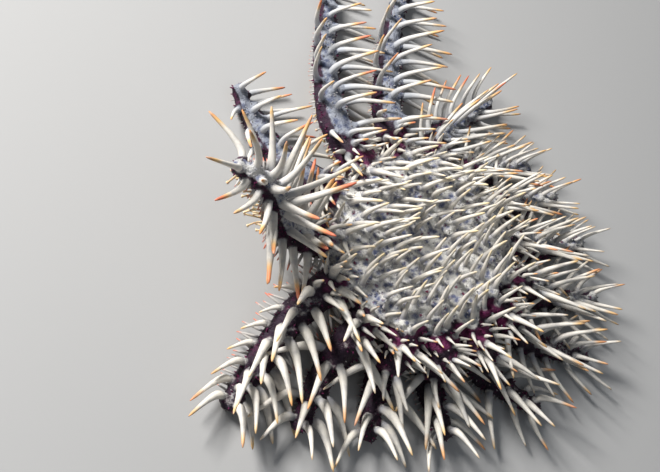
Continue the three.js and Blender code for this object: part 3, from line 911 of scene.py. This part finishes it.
def arm_cell(arm, s, angle):
    """A point's place on the map of all arms: one column for each arm, the angle across and s up."""
    column = (arm["number"] - 0.5 + angle / np.pi * 0.42) / len(ARMS)
    return np.stack([column, 0.03 + 0.94 * s], -1)


# %% Combs
COMB_SPACING = 4.6 * MM
COMB_LENGTH = 12 * MM
HIDDEN_COMB_SHARE = 0.5
SPLAYED_COMB_SHARE = 1.4
SPLAYED_COMBS = (10, 11)
SPLAYED_ANGLE = 1.6
COMB_RADIUS = 1.0 * MM
COMB_ANGLE = 1.85
COMB_PROFILE = np.array([0.8, 1.0, 0.95, 0.75, 0.3])
COMB_LOWEST = 1.3 * MM
COMB_SIDES = 6
HIDDEN_HANG, SPLAYED_HANG = 1.1, 0.12
COMB_SWAY, COMB_SWAY_SCATTER = 0.25, 0.5
COMB_SHORTEST, COMB_LONGEST = 0.6, 1.1
COMB_TIP_SHARE = 0.55
COMB_DEPTH = 0.9


def both_flanks(arm, spacing):
    """-1 or 1 for the left or right flank, and the numbers along it, for a row on each flank."""
    count = int(arm["length"] / spacing)
    flank, i = np.meshgrid([-1.0, 1.0], np.arange(count), indexing="ij")
    return count, flank.ravel(), i.ravel()


def comb_of(arm):
    """Roots along both lower flanks, each spine pointing to the side and a little forward."""
    count, flank, i = both_flanks(arm, COMB_SPACING)
    ids = arm["number"] * 1000 + i + 400 * (flank > 0)
    s = (i + 0.7 + 0.3 * scatter(ids)) / count * 0.97
    splayed = arm["number"] in SPLAYED_COMBS
    height = SPLAYED_ANGLE if splayed else COMB_ANGLE
    angle = flank * (height + 0.12 * wobble(ids + 0.3))
    origin, forward, side, up = frames_at(arm, s)
    root = skin_point(arm, s, angle, COMB_DEPTH)
    sway = COMB_SWAY + COMB_SWAY_SCATTER * wobble(ids + 0.6)
    hang = SPLAYED_HANG if splayed else HIDDEN_HANG
    aim = unit(side * flank[:, None] + forward * sway[:, None] - up * hang)
    share = SPLAYED_COMB_SHARE if splayed else HIDDEN_COMB_SHARE
    length = COMB_LENGTH * share * mix(COMB_SHORTEST, COMB_LONGEST, scatter(ids + 0.9))
    length = length * mix(1, COMB_TIP_SHARE, smooth((s - 0.5) / 0.5))
    tip = root + aim * length[:, None]
    bend = (root + tip) / 2 + up * (0.08 * length)[:, None]
    lines = bent_lines(root, bend, tip, np.linspace(0, 1, len(COMB_PROFILE)))
    lines[..., 2] = np.maximum(lines[..., 2], COMB_LOWEST)
    radii = COMB_RADIUS * np.sqrt(length / COMB_LENGTH)[:, None] * COMB_PROFILE
    return lines, radii, arm_cell(arm, s, angle), ids


combs = [np.concatenate(rows) for rows in zip(*(comb_of(arm) for arm in ARMS))]
comb_piece = small_tubes("combs", combs[0], combs[1], COMB_SIDES, combs[2], combs[3])
print("combs of", len(combs[0]), "small spines")

# %% Tube feet
FOOT_SPACING = 5 * MM
FOOT_LENGTH = 13 * MM
FOOT_RADIUS = 0.95 * MM
FOOT_ANGLE = 2.75
FOOT_PROFILE = np.array([1.0, 0.85, 0.75, 0.75, 1.25, 1.3, 0.4])
FOOT_PLACES = np.array([0, 0.3, 0.6, 0.86, 0.93, 0.98, 1.0])
LEAST_FOOT = 4 * MM
FOOT_CLEARANCE = 1.8 * MM
FOOT_SIDES = 8
FOOT_DEPTH = 0.92
FOOT_SIDEWAYS, FOOT_FORWARD = 0.5, 0.6
FOOT_SHORTEST, FOOT_LONGEST = 0.6, 1.1


def feet_of(arm):
    """Two rows under the arm: each foot hangs to the floor, or as long as it is where that is far."""
    count, flank, i = both_flanks(arm, FOOT_SPACING)
    ids = arm["number"] * 1000 + i + 700 * (flank > 0)
    s = (i + 0.3 + 0.4 * (flank > 0)) / count
    angle = flank * FOOT_ANGLE
    origin, forward, side, up = frames_at(arm, s)
    root = skin_point(arm, s, angle, FOOT_DEPTH)
    sideways = FOOT_SIDEWAYS * side * wobble(ids + 0.2)[:, None]
    aim = unit(-up + sideways + FOOT_FORWARD * forward * wobble(ids)[:, None])
    grown = FOOT_LENGTH * mix(FOOT_SHORTEST, FOOT_LONGEST, scatter(ids + 0.8))
    length = np.minimum(grown, (root[:, 2] - FOOT_CLEARANCE) / np.abs(aim[:, 2]))
    keep = length > LEAST_FOOT
    root, aim, length = root[keep], aim[keep], length[keep]
    tip = root + aim * length[:, None]
    bend = root - up[keep] * (length * 0.5)[:, None]
    lines = bent_lines(root, bend, tip, FOOT_PLACES)
    radii = np.broadcast_to(FOOT_RADIUS * FOOT_PROFILE, (len(root), len(FOOT_PROFILE)))
    return lines, radii, arm_cell(arm, s[keep], angle[keep]), ids[keep]


feet = [np.concatenate(rows) for rows in zip(*(feet_of(arm) for arm in ARMS))]
feet_piece = small_tubes("tube_feet", feet[0], feet[1], FOOT_SIDES, feet[2], feet[3])
print("tube feet:", len(feet[0]))

# %% Pegs on the skin
PEG_COUNT = 3600
PEG_HEIGHT = 1.5 * MM
PEG_RADIUS = 0.5 * MM
PEG_PROFILE = np.array([1.1, 1.0, 0.8, 0.3])
PEG_SUNK = 0.5 * MM
PEG_SIDES = 5
PEG_SMALLEST, PEG_LARGEST = 0.6, 1.3
MAP_WIDTH = 600 * MM


def pegs_on(points, normals, chosen):
    """A blunt peg on each chosen point of the skin, along the skin's own direction."""
    ids = np.arange(len(chosen))
    root = points[chosen] - normals[chosen] * PEG_SUNK
    size = mix(PEG_SMALLEST, PEG_LARGEST, scatter(ids + 0.2))
    tip = root + normals[chosen] * (PEG_SUNK + PEG_HEIGHT * size)[:, None]
    lines = bent_lines(root, (root + tip) / 2, tip, np.linspace(0, 1, len(PEG_PROFILE)))
    lines[..., 2] = np.maximum(lines[..., 2], FLOOR_CLEARANCE)
    return lines, PEG_RADIUS * size[:, None] * PEG_PROFILE, ids


visible = np.flatnonzero((below < 0.3) & (stub < 0.3))
chosen = visible[(scatter(np.arange(PEG_COUNT) * 1.7) * len(visible)).astype(int)]
peg_lines, peg_radii, peg_ids = pegs_on(skin_points, normals_of(skin), chosen)
flat_place = 0.5 + (skin_points[chosen][:, :2] - DISC_PLACE[:2]) / MAP_WIDTH
peg_piece = small_tubes("pegs", peg_lines, peg_radii, PEG_SIDES, flat_place, peg_ids)
peg_pale = np.maximum(ridge, disc_paleness(skin_points))[chosen]
put_attribute(peg_piece, "pale", np.repeat(peg_pale, PEG_SIDES * len(PEG_PROFILE)))
print("pegs:", len(chosen))

# %% [markdown]
# ## The mouth
#
# The mouth is in the middle of the underside: a soft ring with folds that run inwards, and a pair of
# small spines at the inner end of each arm that close over it. A lathe would leave out the folds.

# %% A folded ring with spines round it
MOUTH_RADIUS = 17 * MM
MOUTH_LOW = 25.5 * MM
MOUTH_TOP = 29.5 * MM
MOUTH_RINGS = 26
MOUTH_COLUMNS = 180
MOUTH_SPINES = 30
MOUTH_MIDDLE = MOUTH_LOW + 2.4 * MM
LIP_RISE, FOLD_RISE = 2.6 * MM, 0.5 * MM


def mouth_surface():
    """Height over the radius is a raised lip round a hole, with waves in step with the arms."""
    degrees = np.linspace(0, 360, MOUTH_COLUMNS, endpoint=False)
    r = np.concatenate([np.linspace(0.02, 1, MOUTH_RINGS), np.linspace(1, 0.02, MOUTH_RINGS)])
    lip = np.exp(-(((r - 0.5) / 0.2) ** 2)) * LIP_RISE
    folds = np.cos(np.radians(degrees) * len(ARMS)) * np.exp(-(((r - 0.45) / 0.28) ** 2))[:, None]
    points = compass(degrees) * r[:, None, None] * MOUTH_RADIUS + DISC_PLACE
    points[..., 2] = MOUTH_MIDDLE - lip[:, None] - folds * FOLD_RISE
    points[MOUTH_RINGS:, :, 2] = MOUTH_TOP
    return points


rim = closed_tube(mouth_surface())
mouth_piece = make_mesh("mouth_ring", rim[0], rim[1:])
round_mouth = np.arange(MOUTH_SPINES)
outwards = compass(round_mouth * 360 / MOUTH_SPINES)
oral_root = DISC_PLACE + outwards * MOUTH_RADIUS * 1.02 + UP * (MOUTH_LOW + 2.6 * MM)
oral_tip = DISC_PLACE + outwards * MOUTH_RADIUS * mix(0.1, 0.35, scatter(round_mouth))[:, None]
oral_tip += UP * (MOUTH_LOW - 5 * MM)
oral_bend = (oral_root + oral_tip) / 2 - UP * 3 * MM
oral_lines = bent_lines(oral_root, oral_bend, oral_tip, np.linspace(0, 1, len(COMB_PROFILE)))
oral_radii = np.tile(COMB_RADIUS * 1.2 * COMB_PROFILE, (MOUTH_SPINES, 1))
oral_places = 0.5 + 0.4 * outwards[:, :2]
oral_piece = small_tubes("mouth_spines", oral_lines, oral_radii, COMB_SIDES, oral_places, round_mouth)
print("mouth ring with", MOUTH_SPINES, "spines")

# %% [markdown]
# ## Colours and finishes
#
# The skin is a material with three layers of colour: maroon flesh, a pale chalky ridge and disc, and a
# tan underside. Noise breaks up the borders between them. The grain comes from a bump made of small
# cells, as the real skin is full of tiny plates and gills. A painted picture could hold the same
# colours, but would be tied to one map, while these masks follow the shape when it changes.

# %% Helpers for node materials
class Wiring:
    """Adds nodes to the tree of a material or a group, and joins them."""

    def __init__(self, tree):
        self.nodes = tree.nodes
        self.join = tree.links.new

    def node(self, kind, **settings):
        """A new node, with properties set or, where a name is an input, that input's value."""
        node = self.nodes.new("ShaderNode" + kind)
        for key, value in settings.items():
            if key in node.inputs:
                node.inputs[key].default_value = value
            else:
                setattr(node, key, value)
        return node

    def plug(self, node, slot, value):
        """Gives an input a number, a colour of three numbers, or another node's output."""
        if isinstance(value, (int, float)):
            node.inputs[slot].default_value = value
        elif isinstance(value, tuple):
            node.inputs[slot].default_value = (*value, 1)
        else:
            self.join(value, node.inputs[slot])

    def mark(self, name):
        """Reads a number stored on the piece."""
        return self.node("Attribute", attribute_name=name).outputs["Fac"]

    def math(self, operation, first, second):
        """Combines two values by one operation."""
        node = self.node("Math", operation=operation)
        self.plug(node, 0, first)
        self.plug(node, 1, second)
        return node.outputs[0]

    def blend(self, share, first, second, mode="MIX"):
        """Mixes two colours by a share."""
        node = self.node("Mix", data_type="RGBA", blend_type=mode)
        for slot, value in ((0, share), (6, first), (7, second)):
            self.plug(node, slot, value)
        return node.outputs[2]

    def span(self, value, low, high, start=0.0, end=1.0):
        """Carries a value softly from the range low to high into the range start to end."""
        node = self.node("MapRange", interpolation_type="SMOOTHSTEP")
        ends = {"Value": value, "From Min": low, "From Max": high, "To Min": start, "To Max": end}
        for slot, number in ends.items():
            self.plug(node, slot, number)
        return node.outputs["Result"]

    def ramp(self, place, stops):
        """A colour ramp with a stop for each place and colour given."""
        node = self.node("ValToRGB")
        elements = node.color_ramp.elements
        for n, (position, colour) in enumerate(stops):
            element = elements[n] if n < 2 else elements.new(position)
            element.position = position
            element.color = (*colour, 1)
        self.join(place, node.inputs["Fac"])
        return node.outputs["Color"]


class Finish(Wiring):
    """A new material, with its principled shader."""

    def __init__(self, name):
        self.material = bpy.data.materials.new(name)
        self.material.use_nodes = True
        super().__init__(self.material.node_tree)
        self.shader = self.nodes["Principled BSDF"]

    def use(self, slot, value):
        """Gives one of the shader's own inputs a value."""
        self.plug(self.shader, slot, value)

    def grain(self, fineness):
        """The shared grain, finer where the piece is smaller: its height, mottle and net."""
        node = self.node("Group", node_tree=grain)
        node.inputs["Fineness"].default_value = fineness
        return [node.outputs[name] for name in GRAIN_OUTPUTS]

    def bump(self, height, strength, distance):
        """Tilts the surface by a height, which is measured in metres by the distance."""
        bump = self.node("Bump", Strength=strength, Distance=distance)
        self.join(height, bump.inputs["Height"])
        self.use("Normal", bump.outputs["Normal"])


# %% A shared grain of tiny plates
GRAIN_OUTPUTS = ("Height", "Mottle", "Net")
PLATE_SCALE, FINE_SCALE, PATCH_SCALE = 900.0, 2200.0, 130.0
NET_SCALE, WARP_SCALE, WARP_REACH = 190.0, 260.0, 4 * MM


def make_grain():
    """A node group: fine cells give a height, and warped wide cells give a net with soft patches."""
    group = bpy.data.node_groups.new("chalky_grain", "ShaderNodeTree")
    group.interface.new_socket("Fineness", in_out="INPUT", socket_type="NodeSocketFloat")
    for name in GRAIN_OUTPUTS:
        group.interface.new_socket(name, in_out="OUTPUT", socket_type="NodeSocketFloat")
    wiring = Wiring(group)
    inside = group.nodes.new("NodeGroupInput")
    outside = group.nodes.new("NodeGroupOutput")
    where = wiring.node("TexCoord").outputs["Object"]
    cells = wiring.node("TexVoronoi")
    fine = wiring.node("TexNoise", Scale=FINE_SCALE, Detail=3.0, Roughness=0.6)
    patches = wiring.node("TexNoise", Scale=PATCH_SCALE, Detail=4.0, Roughness=0.62)
    warp = wiring.node("TexNoise", Scale=WARP_SCALE, Detail=2.0)
    for texture in (cells, fine, patches, warp):
        wiring.join(where, texture.inputs["Vector"])
    bend = wiring.node("VectorMath", operation="MULTIPLY_ADD")
    bend.inputs[1].default_value = (WARP_REACH, WARP_REACH, WARP_REACH)
    wiring.join(warp.outputs["Color"], bend.inputs[0])
    wiring.join(where, bend.inputs[2])
    net = wiring.node("TexVoronoi", Scale=NET_SCALE)
    wiring.join(bend.outputs["Vector"], net.inputs["Vector"])
    wiring.join(wiring.math("MULTIPLY", inside.outputs[0], PLATE_SCALE), cells.inputs["Scale"])
    bumps = wiring.math("SUBTRACT", 1.0, cells.outputs["Distance"])
    detail = wiring.math("MULTIPLY", fine.outputs["Fac"], 0.6)
    strands = wiring.math("MULTIPLY", net.outputs["Distance"], 1.2)
    height = wiring.math("ADD", wiring.math("ADD", bumps, detail), strands)
    for name, value in zip(GRAIN_OUTPUTS, (height, patches.outputs["Fac"], net.outputs["Distance"])):
        wiring.join(value, outside.inputs[name])
    return group


grain = make_grain()
print("grain group with", [item.name for item in grain.interface.items_tree])

# %% The skin's material
MAROON = (0.018, 0.005, 0.018)
MAGENTA = (0.13, 0.008, 0.066)
CHALK = (0.60, 0.59, 0.56)
# Partly the skin's own slate and partly painted shade, for the low middles of the grain's cells.
SLATE_AND_SHADE = (0.14, 0.17, 0.29)
# The next two colours are a painted blue shade for the long arms.
SHADE_BLUE = (0.17, 0.20, 0.27)
DEEP_SHADE_BLUE = (0.035, 0.055, 0.12)
CRIMSON = (0.20, 0.016, 0.06)
PIT_SHADE = (0.30, 0.28, 0.36)
TAN = (0.30, 0.20, 0.13)
EYE_RED = (0.35, 0.02, 0.02)


def flesh_colour(finish, mottle):
    """Maroon, with magenta patches that are more common near the rim of the disc."""
    redder = finish.math("MULTIPLY", finish.mark("rosy"), 0.3)
    rosy = finish.span(finish.math("ADD", mottle, redder), 0.5, 0.85)
    return finish.blend(rosy, MAROON, MAGENTA)


def chalk_colour(finish, mottle, net, spread, cool):
    """Slate in the low middles of the net's cells, partly the skin's own colour and partly painted
    shade, chalk on the raised net between them, crimson specks, and a painted blue shade on the long arms.
    """
    # Painted shade, mixed with the skin's own slate, in the low middles of the cells.
    patch = finish.span(finish.math("ADD", net, spread), 0.0, 0.7)
    in_cell = finish.span(net, 0.16, 0.36, 1.0, 0.0)
    speck = finish.math("MULTIPLY", in_cell, finish.span(mottle, 0.53, 0.6))
    warm = finish.blend(speck, finish.blend(patch, SLATE_AND_SHADE, CHALK), CRIMSON)
    # The painted blue shade, mottled from a deep to a lighter blue.
    blue = finish.blend(finish.span(mottle, 0.36, 0.64), DEEP_SHADE_BLUE, SHADE_BLUE)
    return finish.blend(cool, warm, blue)


def skin_material():
    """Chalk where the skin is pale and flesh between, a sheath over each stub, a painted blue shade on
    the long arms, tan below, darker in the pits of the grain, and a red spot at each arm's tip."""
    finish = Finish("starfish_skin")
    height, mottle, net = finish.grain(1.0)
    spread = finish.math("MULTIPLY", finish.math("SUBTRACT", mottle, 0.5), 1.3)
    pale = finish.span(finish.math("ADD", finish.mark("pale"), spread), 0.25, 0.6)
    # The share of painted blue shade, on the ridges and stub sheaths of the long arms.
    cool = finish.math("MULTIPLY", finish.mark("cool"), 0.75)
    chalk = chalk_colour(finish, mottle, net, spread, cool)
    colour = finish.blend(pale, flesh_colour(finish, mottle), chalk)
    stub = finish.math("MULTIPLY", finish.span(finish.mark("stub"), 0.25, 0.7), 0.8)
    colour = finish.blend(stub, colour, finish.blend(cool, CHALK, SHADE_BLUE))
    colour = finish.blend(finish.mark("below"), colour, TAN)
    pits = finish.span(height, 0.95, 1.5, 0.55, 0.0)
    colour = finish.blend(pits, colour, PIT_SHADE, "MULTIPLY")
    red = finish.span(finish.mark("eye"), 0.5, 0.8)
    finish.use("Base Color", finish.blend(red, colour, EYE_RED))
    finish.use("Roughness", finish.span(mottle, 0.3, 0.7, 0.45, 0.68))
    finish.use("Specular IOR Level", 0.35)
    finish.bump(height, 0.8, 0.7 * MM)
    return finish.material


skin.data.materials.clear()
skin.data.materials.append(skin_material())
print("skin material on", skin.name)

# %% [markdown]
# ## The spines' finish
#
# A spine is covered by thin skin: greyish at the root, cream along the shaft, and yellow to orange or
# salmon at the tip. A colour ramp along the spine gives this, and a number for each spine shifts it, so
# that no two neighbours change colour at one height. On the long arms a painted blue shade lies over
# the lower part of each spine.

# %% The spines' material
SPINE_ROOT = (0.30, 0.30, 0.32)
SPINE_CREAM = (0.72, 0.68, 0.61)
SPINE_GREY = (0.34, 0.34, 0.37)
# A painted blue shade for the lower part of the long arms' spines.
SPINE_SHADE_BLUE = (0.36, 0.40, 0.47)
SPINE_YELLOW = (0.72, 0.47, 0.20)
SPINE_ORANGE = (0.66, 0.28, 0.09)
SPINE_SALMON = (0.60, 0.16, 0.09)
LAST_YELLOW = (0.74, 0.60, 0.34)
COMB_GREY = (0.45, 0.43, 0.41)


def spine_material(name, stops, greyness):
    """Cream to the last part, which turns yellow, orange and on some spines red, where it is warm."""
    finish = Finish(name)
    along, tone, warm = finish.mark("along"), finish.mark("tone"), finish.mark("warm")
    shift = finish.math("MULTIPLY", finish.math("SUBTRACT", tone, 0.6), 0.16)
    colder = finish.math("MULTIPLY", finish.math("SUBTRACT", warm, 1.0), 0.17)
    place = finish.math("ADD", along, finish.math("ADD", shift, colder))
    height, mottle, net = finish.grain(1.6)
    stain = finish.span(mottle, 0.42, 0.75, 0.0, greyness)
    shaft = finish.blend(stain, finish.ramp(place, stops), SPINE_GREY)
    # Painted blue shade over the lower part of the spines of the long arms.
    blue_shade_share = finish.math("MULTIPLY", finish.mark("cool"), finish.span(along, 0.25, 0.8, 0.6, 0.0))
    shaft = finish.blend(blue_shade_share, shaft, SPINE_SHADE_BLUE)
    tip = finish.math("MULTIPLY", finish.span(along, 0.74, 0.95), warm)
    red = finish.math("MULTIPLY", finish.span(tone, 0.7, 1.0), tip)
    finish.use("Base Color", finish.blend(red, shaft, SPINE_SALMON))
    finish.use("Roughness", 0.5)
    finish.use("Specular IOR Level", 0.4)
    finish.bump(height, 0.3, 0.2 * MM)
    return finish.material


ARM_STOPS = (
    (0.0, SPINE_ROOT),
    (0.22, SPINE_CREAM),
    (0.74, SPINE_CREAM),
    (0.86, SPINE_YELLOW),
    (0.97, SPINE_ORANGE),
)
DISC_STOPS = ((0.0, SPINE_ROOT), (0.24, SPINE_CREAM), (0.62, SPINE_CREAM), (0.84, LAST_YELLOW))
COMB_STOPS = ((0.0, SPINE_ROOT), (0.3, COMB_GREY), (0.72, COMB_GREY), (0.95, SPINE_SALMON))
arm_spine_finish = spine_material("arm_spine", ARM_STOPS, 0.5)
disc_spine_finish = spine_material("disc_spine", DISC_STOPS, 0.5)
comb_finish = spine_material("comb_spine", COMB_STOPS, 0.3)
for piece in spine_pieces:
    piece.data.materials.append(disc_spine_finish if piece.name == "spines_disc" else arm_spine_finish)
for piece in (comb_piece, oral_piece):
    piece.data.materials.append(comb_finish)
print("spine finishes on", len(spine_pieces) + 2, "pieces")

# %% Feet, pegs and mouth
FOOT_AMBER = (0.62, 0.47, 0.27)
FOOT_PALE = (0.70, 0.62, 0.48)
PEG_DARK = (0.09, 0.02, 0.05)
PEG_PALE = (0.36, 0.35, 0.35)
MOUTH_ROSE = (0.34, 0.16, 0.13)


def foot_material():
    """Amber and a little see-through: light that enters comes out nearby. The sucker is paler."""
    finish = Finish("tube_foot")
    height, mottle, net = finish.grain(1.4)
    colour = finish.blend(finish.span(finish.mark("along"), 0.6, 0.8), FOOT_AMBER, FOOT_PALE)
    stain = finish.span(mottle, 0.4, 0.8, 0.0, 0.4)
    finish.use("Base Color", finish.blend(stain, colour, TAN))
    finish.use("Roughness", 0.35)
    finish.use("Subsurface Weight", 0.25)
    finish.use("Subsurface Scale", 2 * MM)
    finish.bump(height, 0.2, 0.2 * MM)
    return finish.material


def peg_material():
    """Dark on maroon skin and chalky on pale skin, so that the pegs belong to what they stand on."""
    finish = Finish("skin_peg")
    height, mottle, net = finish.grain(2.0)
    pale = finish.span(finish.mark("pale"), 0.3, 0.6)
    light = finish.math("MAXIMUM", pale, finish.span(finish.mark("tone"), 0.9, 0.94))
    base = finish.blend(mottle, PEG_DARK, MAGENTA)
    finish.use("Base Color", finish.blend(light, base, PEG_PALE))
    finish.use("Roughness", 0.75)
    finish.use("Specular IOR Level", 0.2)
    finish.bump(height, 0.2, 0.2 * MM)
    return finish.material


def mouth_material():
    """Rosy folds mottled with tan, and the shared grain."""
    finish = Finish("mouth_skin")
    height, mottle, net = finish.grain(1.2)
    shade = finish.span(mottle, 0.35, 0.7)
    finish.use("Base Color", finish.blend(shade, MOUTH_ROSE, TAN))
    finish.use("Roughness", 0.45)
    finish.bump(height, 0.4, 0.4 * MM)
    return finish.material


feet_piece.data.materials.append(foot_material())
peg_piece.data.materials.append(peg_material())
mouth_piece.data.materials.append(mouth_material())
print("finishes on feet, pegs and mouth")

# %% [markdown]
# ## Taking the place of the solids
#
# The skin takes the place of the disc and of both lengths of every arm, and the ring that of the mouth.
# All other pieces stand on these two. The animal is still, so everything belongs to its one body.

# %% Riding and replacing
arm_nodes = [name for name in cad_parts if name.startswith("arm_")]
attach(skin, "root")
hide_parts("disc", *arm_nodes)
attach(mouth_piece, "root")
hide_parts("mouth")
for piece in spine_pieces + [comb_piece, feet_piece, peg_piece, oral_piece]:
    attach(piece, "root")
print("skin and mouth replace", len(arm_nodes) + 2, "nodes")

# %% [markdown]
# ## Floor, lights and camera
#
# The floor is plain and pale. The photo shows the animal upright, and here it lies on the floor. The
# camera has turned with it, so it looks down and is rolled, and the animal looks as it does in the photo.

# %% The floor
FLOOR_SIZE = 6.0
FLOOR_GREY = (0.42, 0.42, 0.42)
floor = make_mesh(
    "floor",
    np.array([[-1, -1, 0], [1, -1, 0], [1, 1, 0], [-1, 1, 0]]) * FLOOR_SIZE / 2,
    [np.array([[0, 1, 2, 3]])],
)
floor_finish = Finish("floor")
floor_finish.use("Base Color", FLOOR_GREY)
floor_finish.use("Roughness", 0.85)
floor.data.materials.append(floor_finish.material)
print("floor", FLOOR_SIZE, "m across")

# %% The camera
CAMERA_ELEVATION = math.radians(53)
CAMERA_ROLL = math.radians(55)
CAMERA_DISTANCE = 0.9
PIXEL = 0.75 * MM
IMAGE_SIZE = (660, 472)
DISC_PIXEL = (430, 243)
AIM_HEIGHT = 50 * MM
SENSOR = 36.0

ahead = Vector((0, math.cos(CAMERA_ELEVATION), -math.sin(CAMERA_ELEVATION)))
level = Vector((1, 0, 0))
above = level.cross(ahead)
right = level * math.cos(CAMERA_ROLL) + above * math.sin(CAMERA_ROLL)
up = right.cross(ahead)
eye = Vector(DISC_PLACE) + Vector((0, 0, AIM_HEIGHT)) - ahead * CAMERA_DISTANCE
camera_data = bpy.data.cameras.new("camera")
camera = placed("camera", camera_data)
camera_data.sensor_width = SENSOR
camera_data.lens = SENSOR * CAMERA_DISTANCE / (IMAGE_SIZE[0] * PIXEL)
camera_data.shift_x = -(DISC_PIXEL[0] - IMAGE_SIZE[0] / 2) / IMAGE_SIZE[0]
camera_data.shift_y = (DISC_PIXEL[1] - IMAGE_SIZE[1] / 2) / IMAGE_SIZE[0]
camera_data.clip_start, camera_data.clip_end = 0.05, 20
turned = Matrix((right, up, -ahead)).transposed().to_4x4()
camera.matrix_world = Matrix.Translation(eye) @ turned
bpy.context.scene.camera = camera
print("camera at", eye, "lens", camera_data.lens)

# %% The lights
KEY_WHITE, FILL_WHITE = (1.0, 0.98, 0.95), (0.88, 0.93, 1.0)
ROOM_COLOUR, ROOM_STRENGTH = (0.8, 0.89, 1.0, 1), 0.14


def area_light(name, toward, distance, size, power, colour):
    """A square lamp in the given direction from the animal, facing it."""
    data = bpy.data.lights.new(name, "AREA")
    data.size, data.energy, data.color = size, power, colour
    lamp = placed(name, data)
    lamp.location = Vector(DISC_PLACE) + Vector(toward).normalized() * distance
    lamp.rotation_mode = "QUATERNION"
    lamp.rotation_quaternion = (-Vector(toward)).to_track_quat("-Z", "Y")


key_side = up * 0.9 - right * 0.5 - ahead * 0.75 + Vector((0, 0, 0.1))
fill_side = right * 0.7 - ahead
area_light("key", key_side, distance=2.0, size=0.5, power=74, colour=KEY_WHITE)
area_light("fill", fill_side, distance=1.6, size=1.2, power=2, colour=FILL_WHITE)
world = bpy.data.worlds.new("studio")
bpy.context.scene.world = world
world.use_nodes = True
world.node_tree.nodes["Background"].inputs["Color"].default_value = ROOM_COLOUR
world.node_tree.nodes["Background"].inputs["Strength"].default_value = ROOM_STRENGTH
bpy.context.scene.view_settings.view_transform = "Standard"
print("lights:", [lamp.name for lamp in bpy.data.lights])
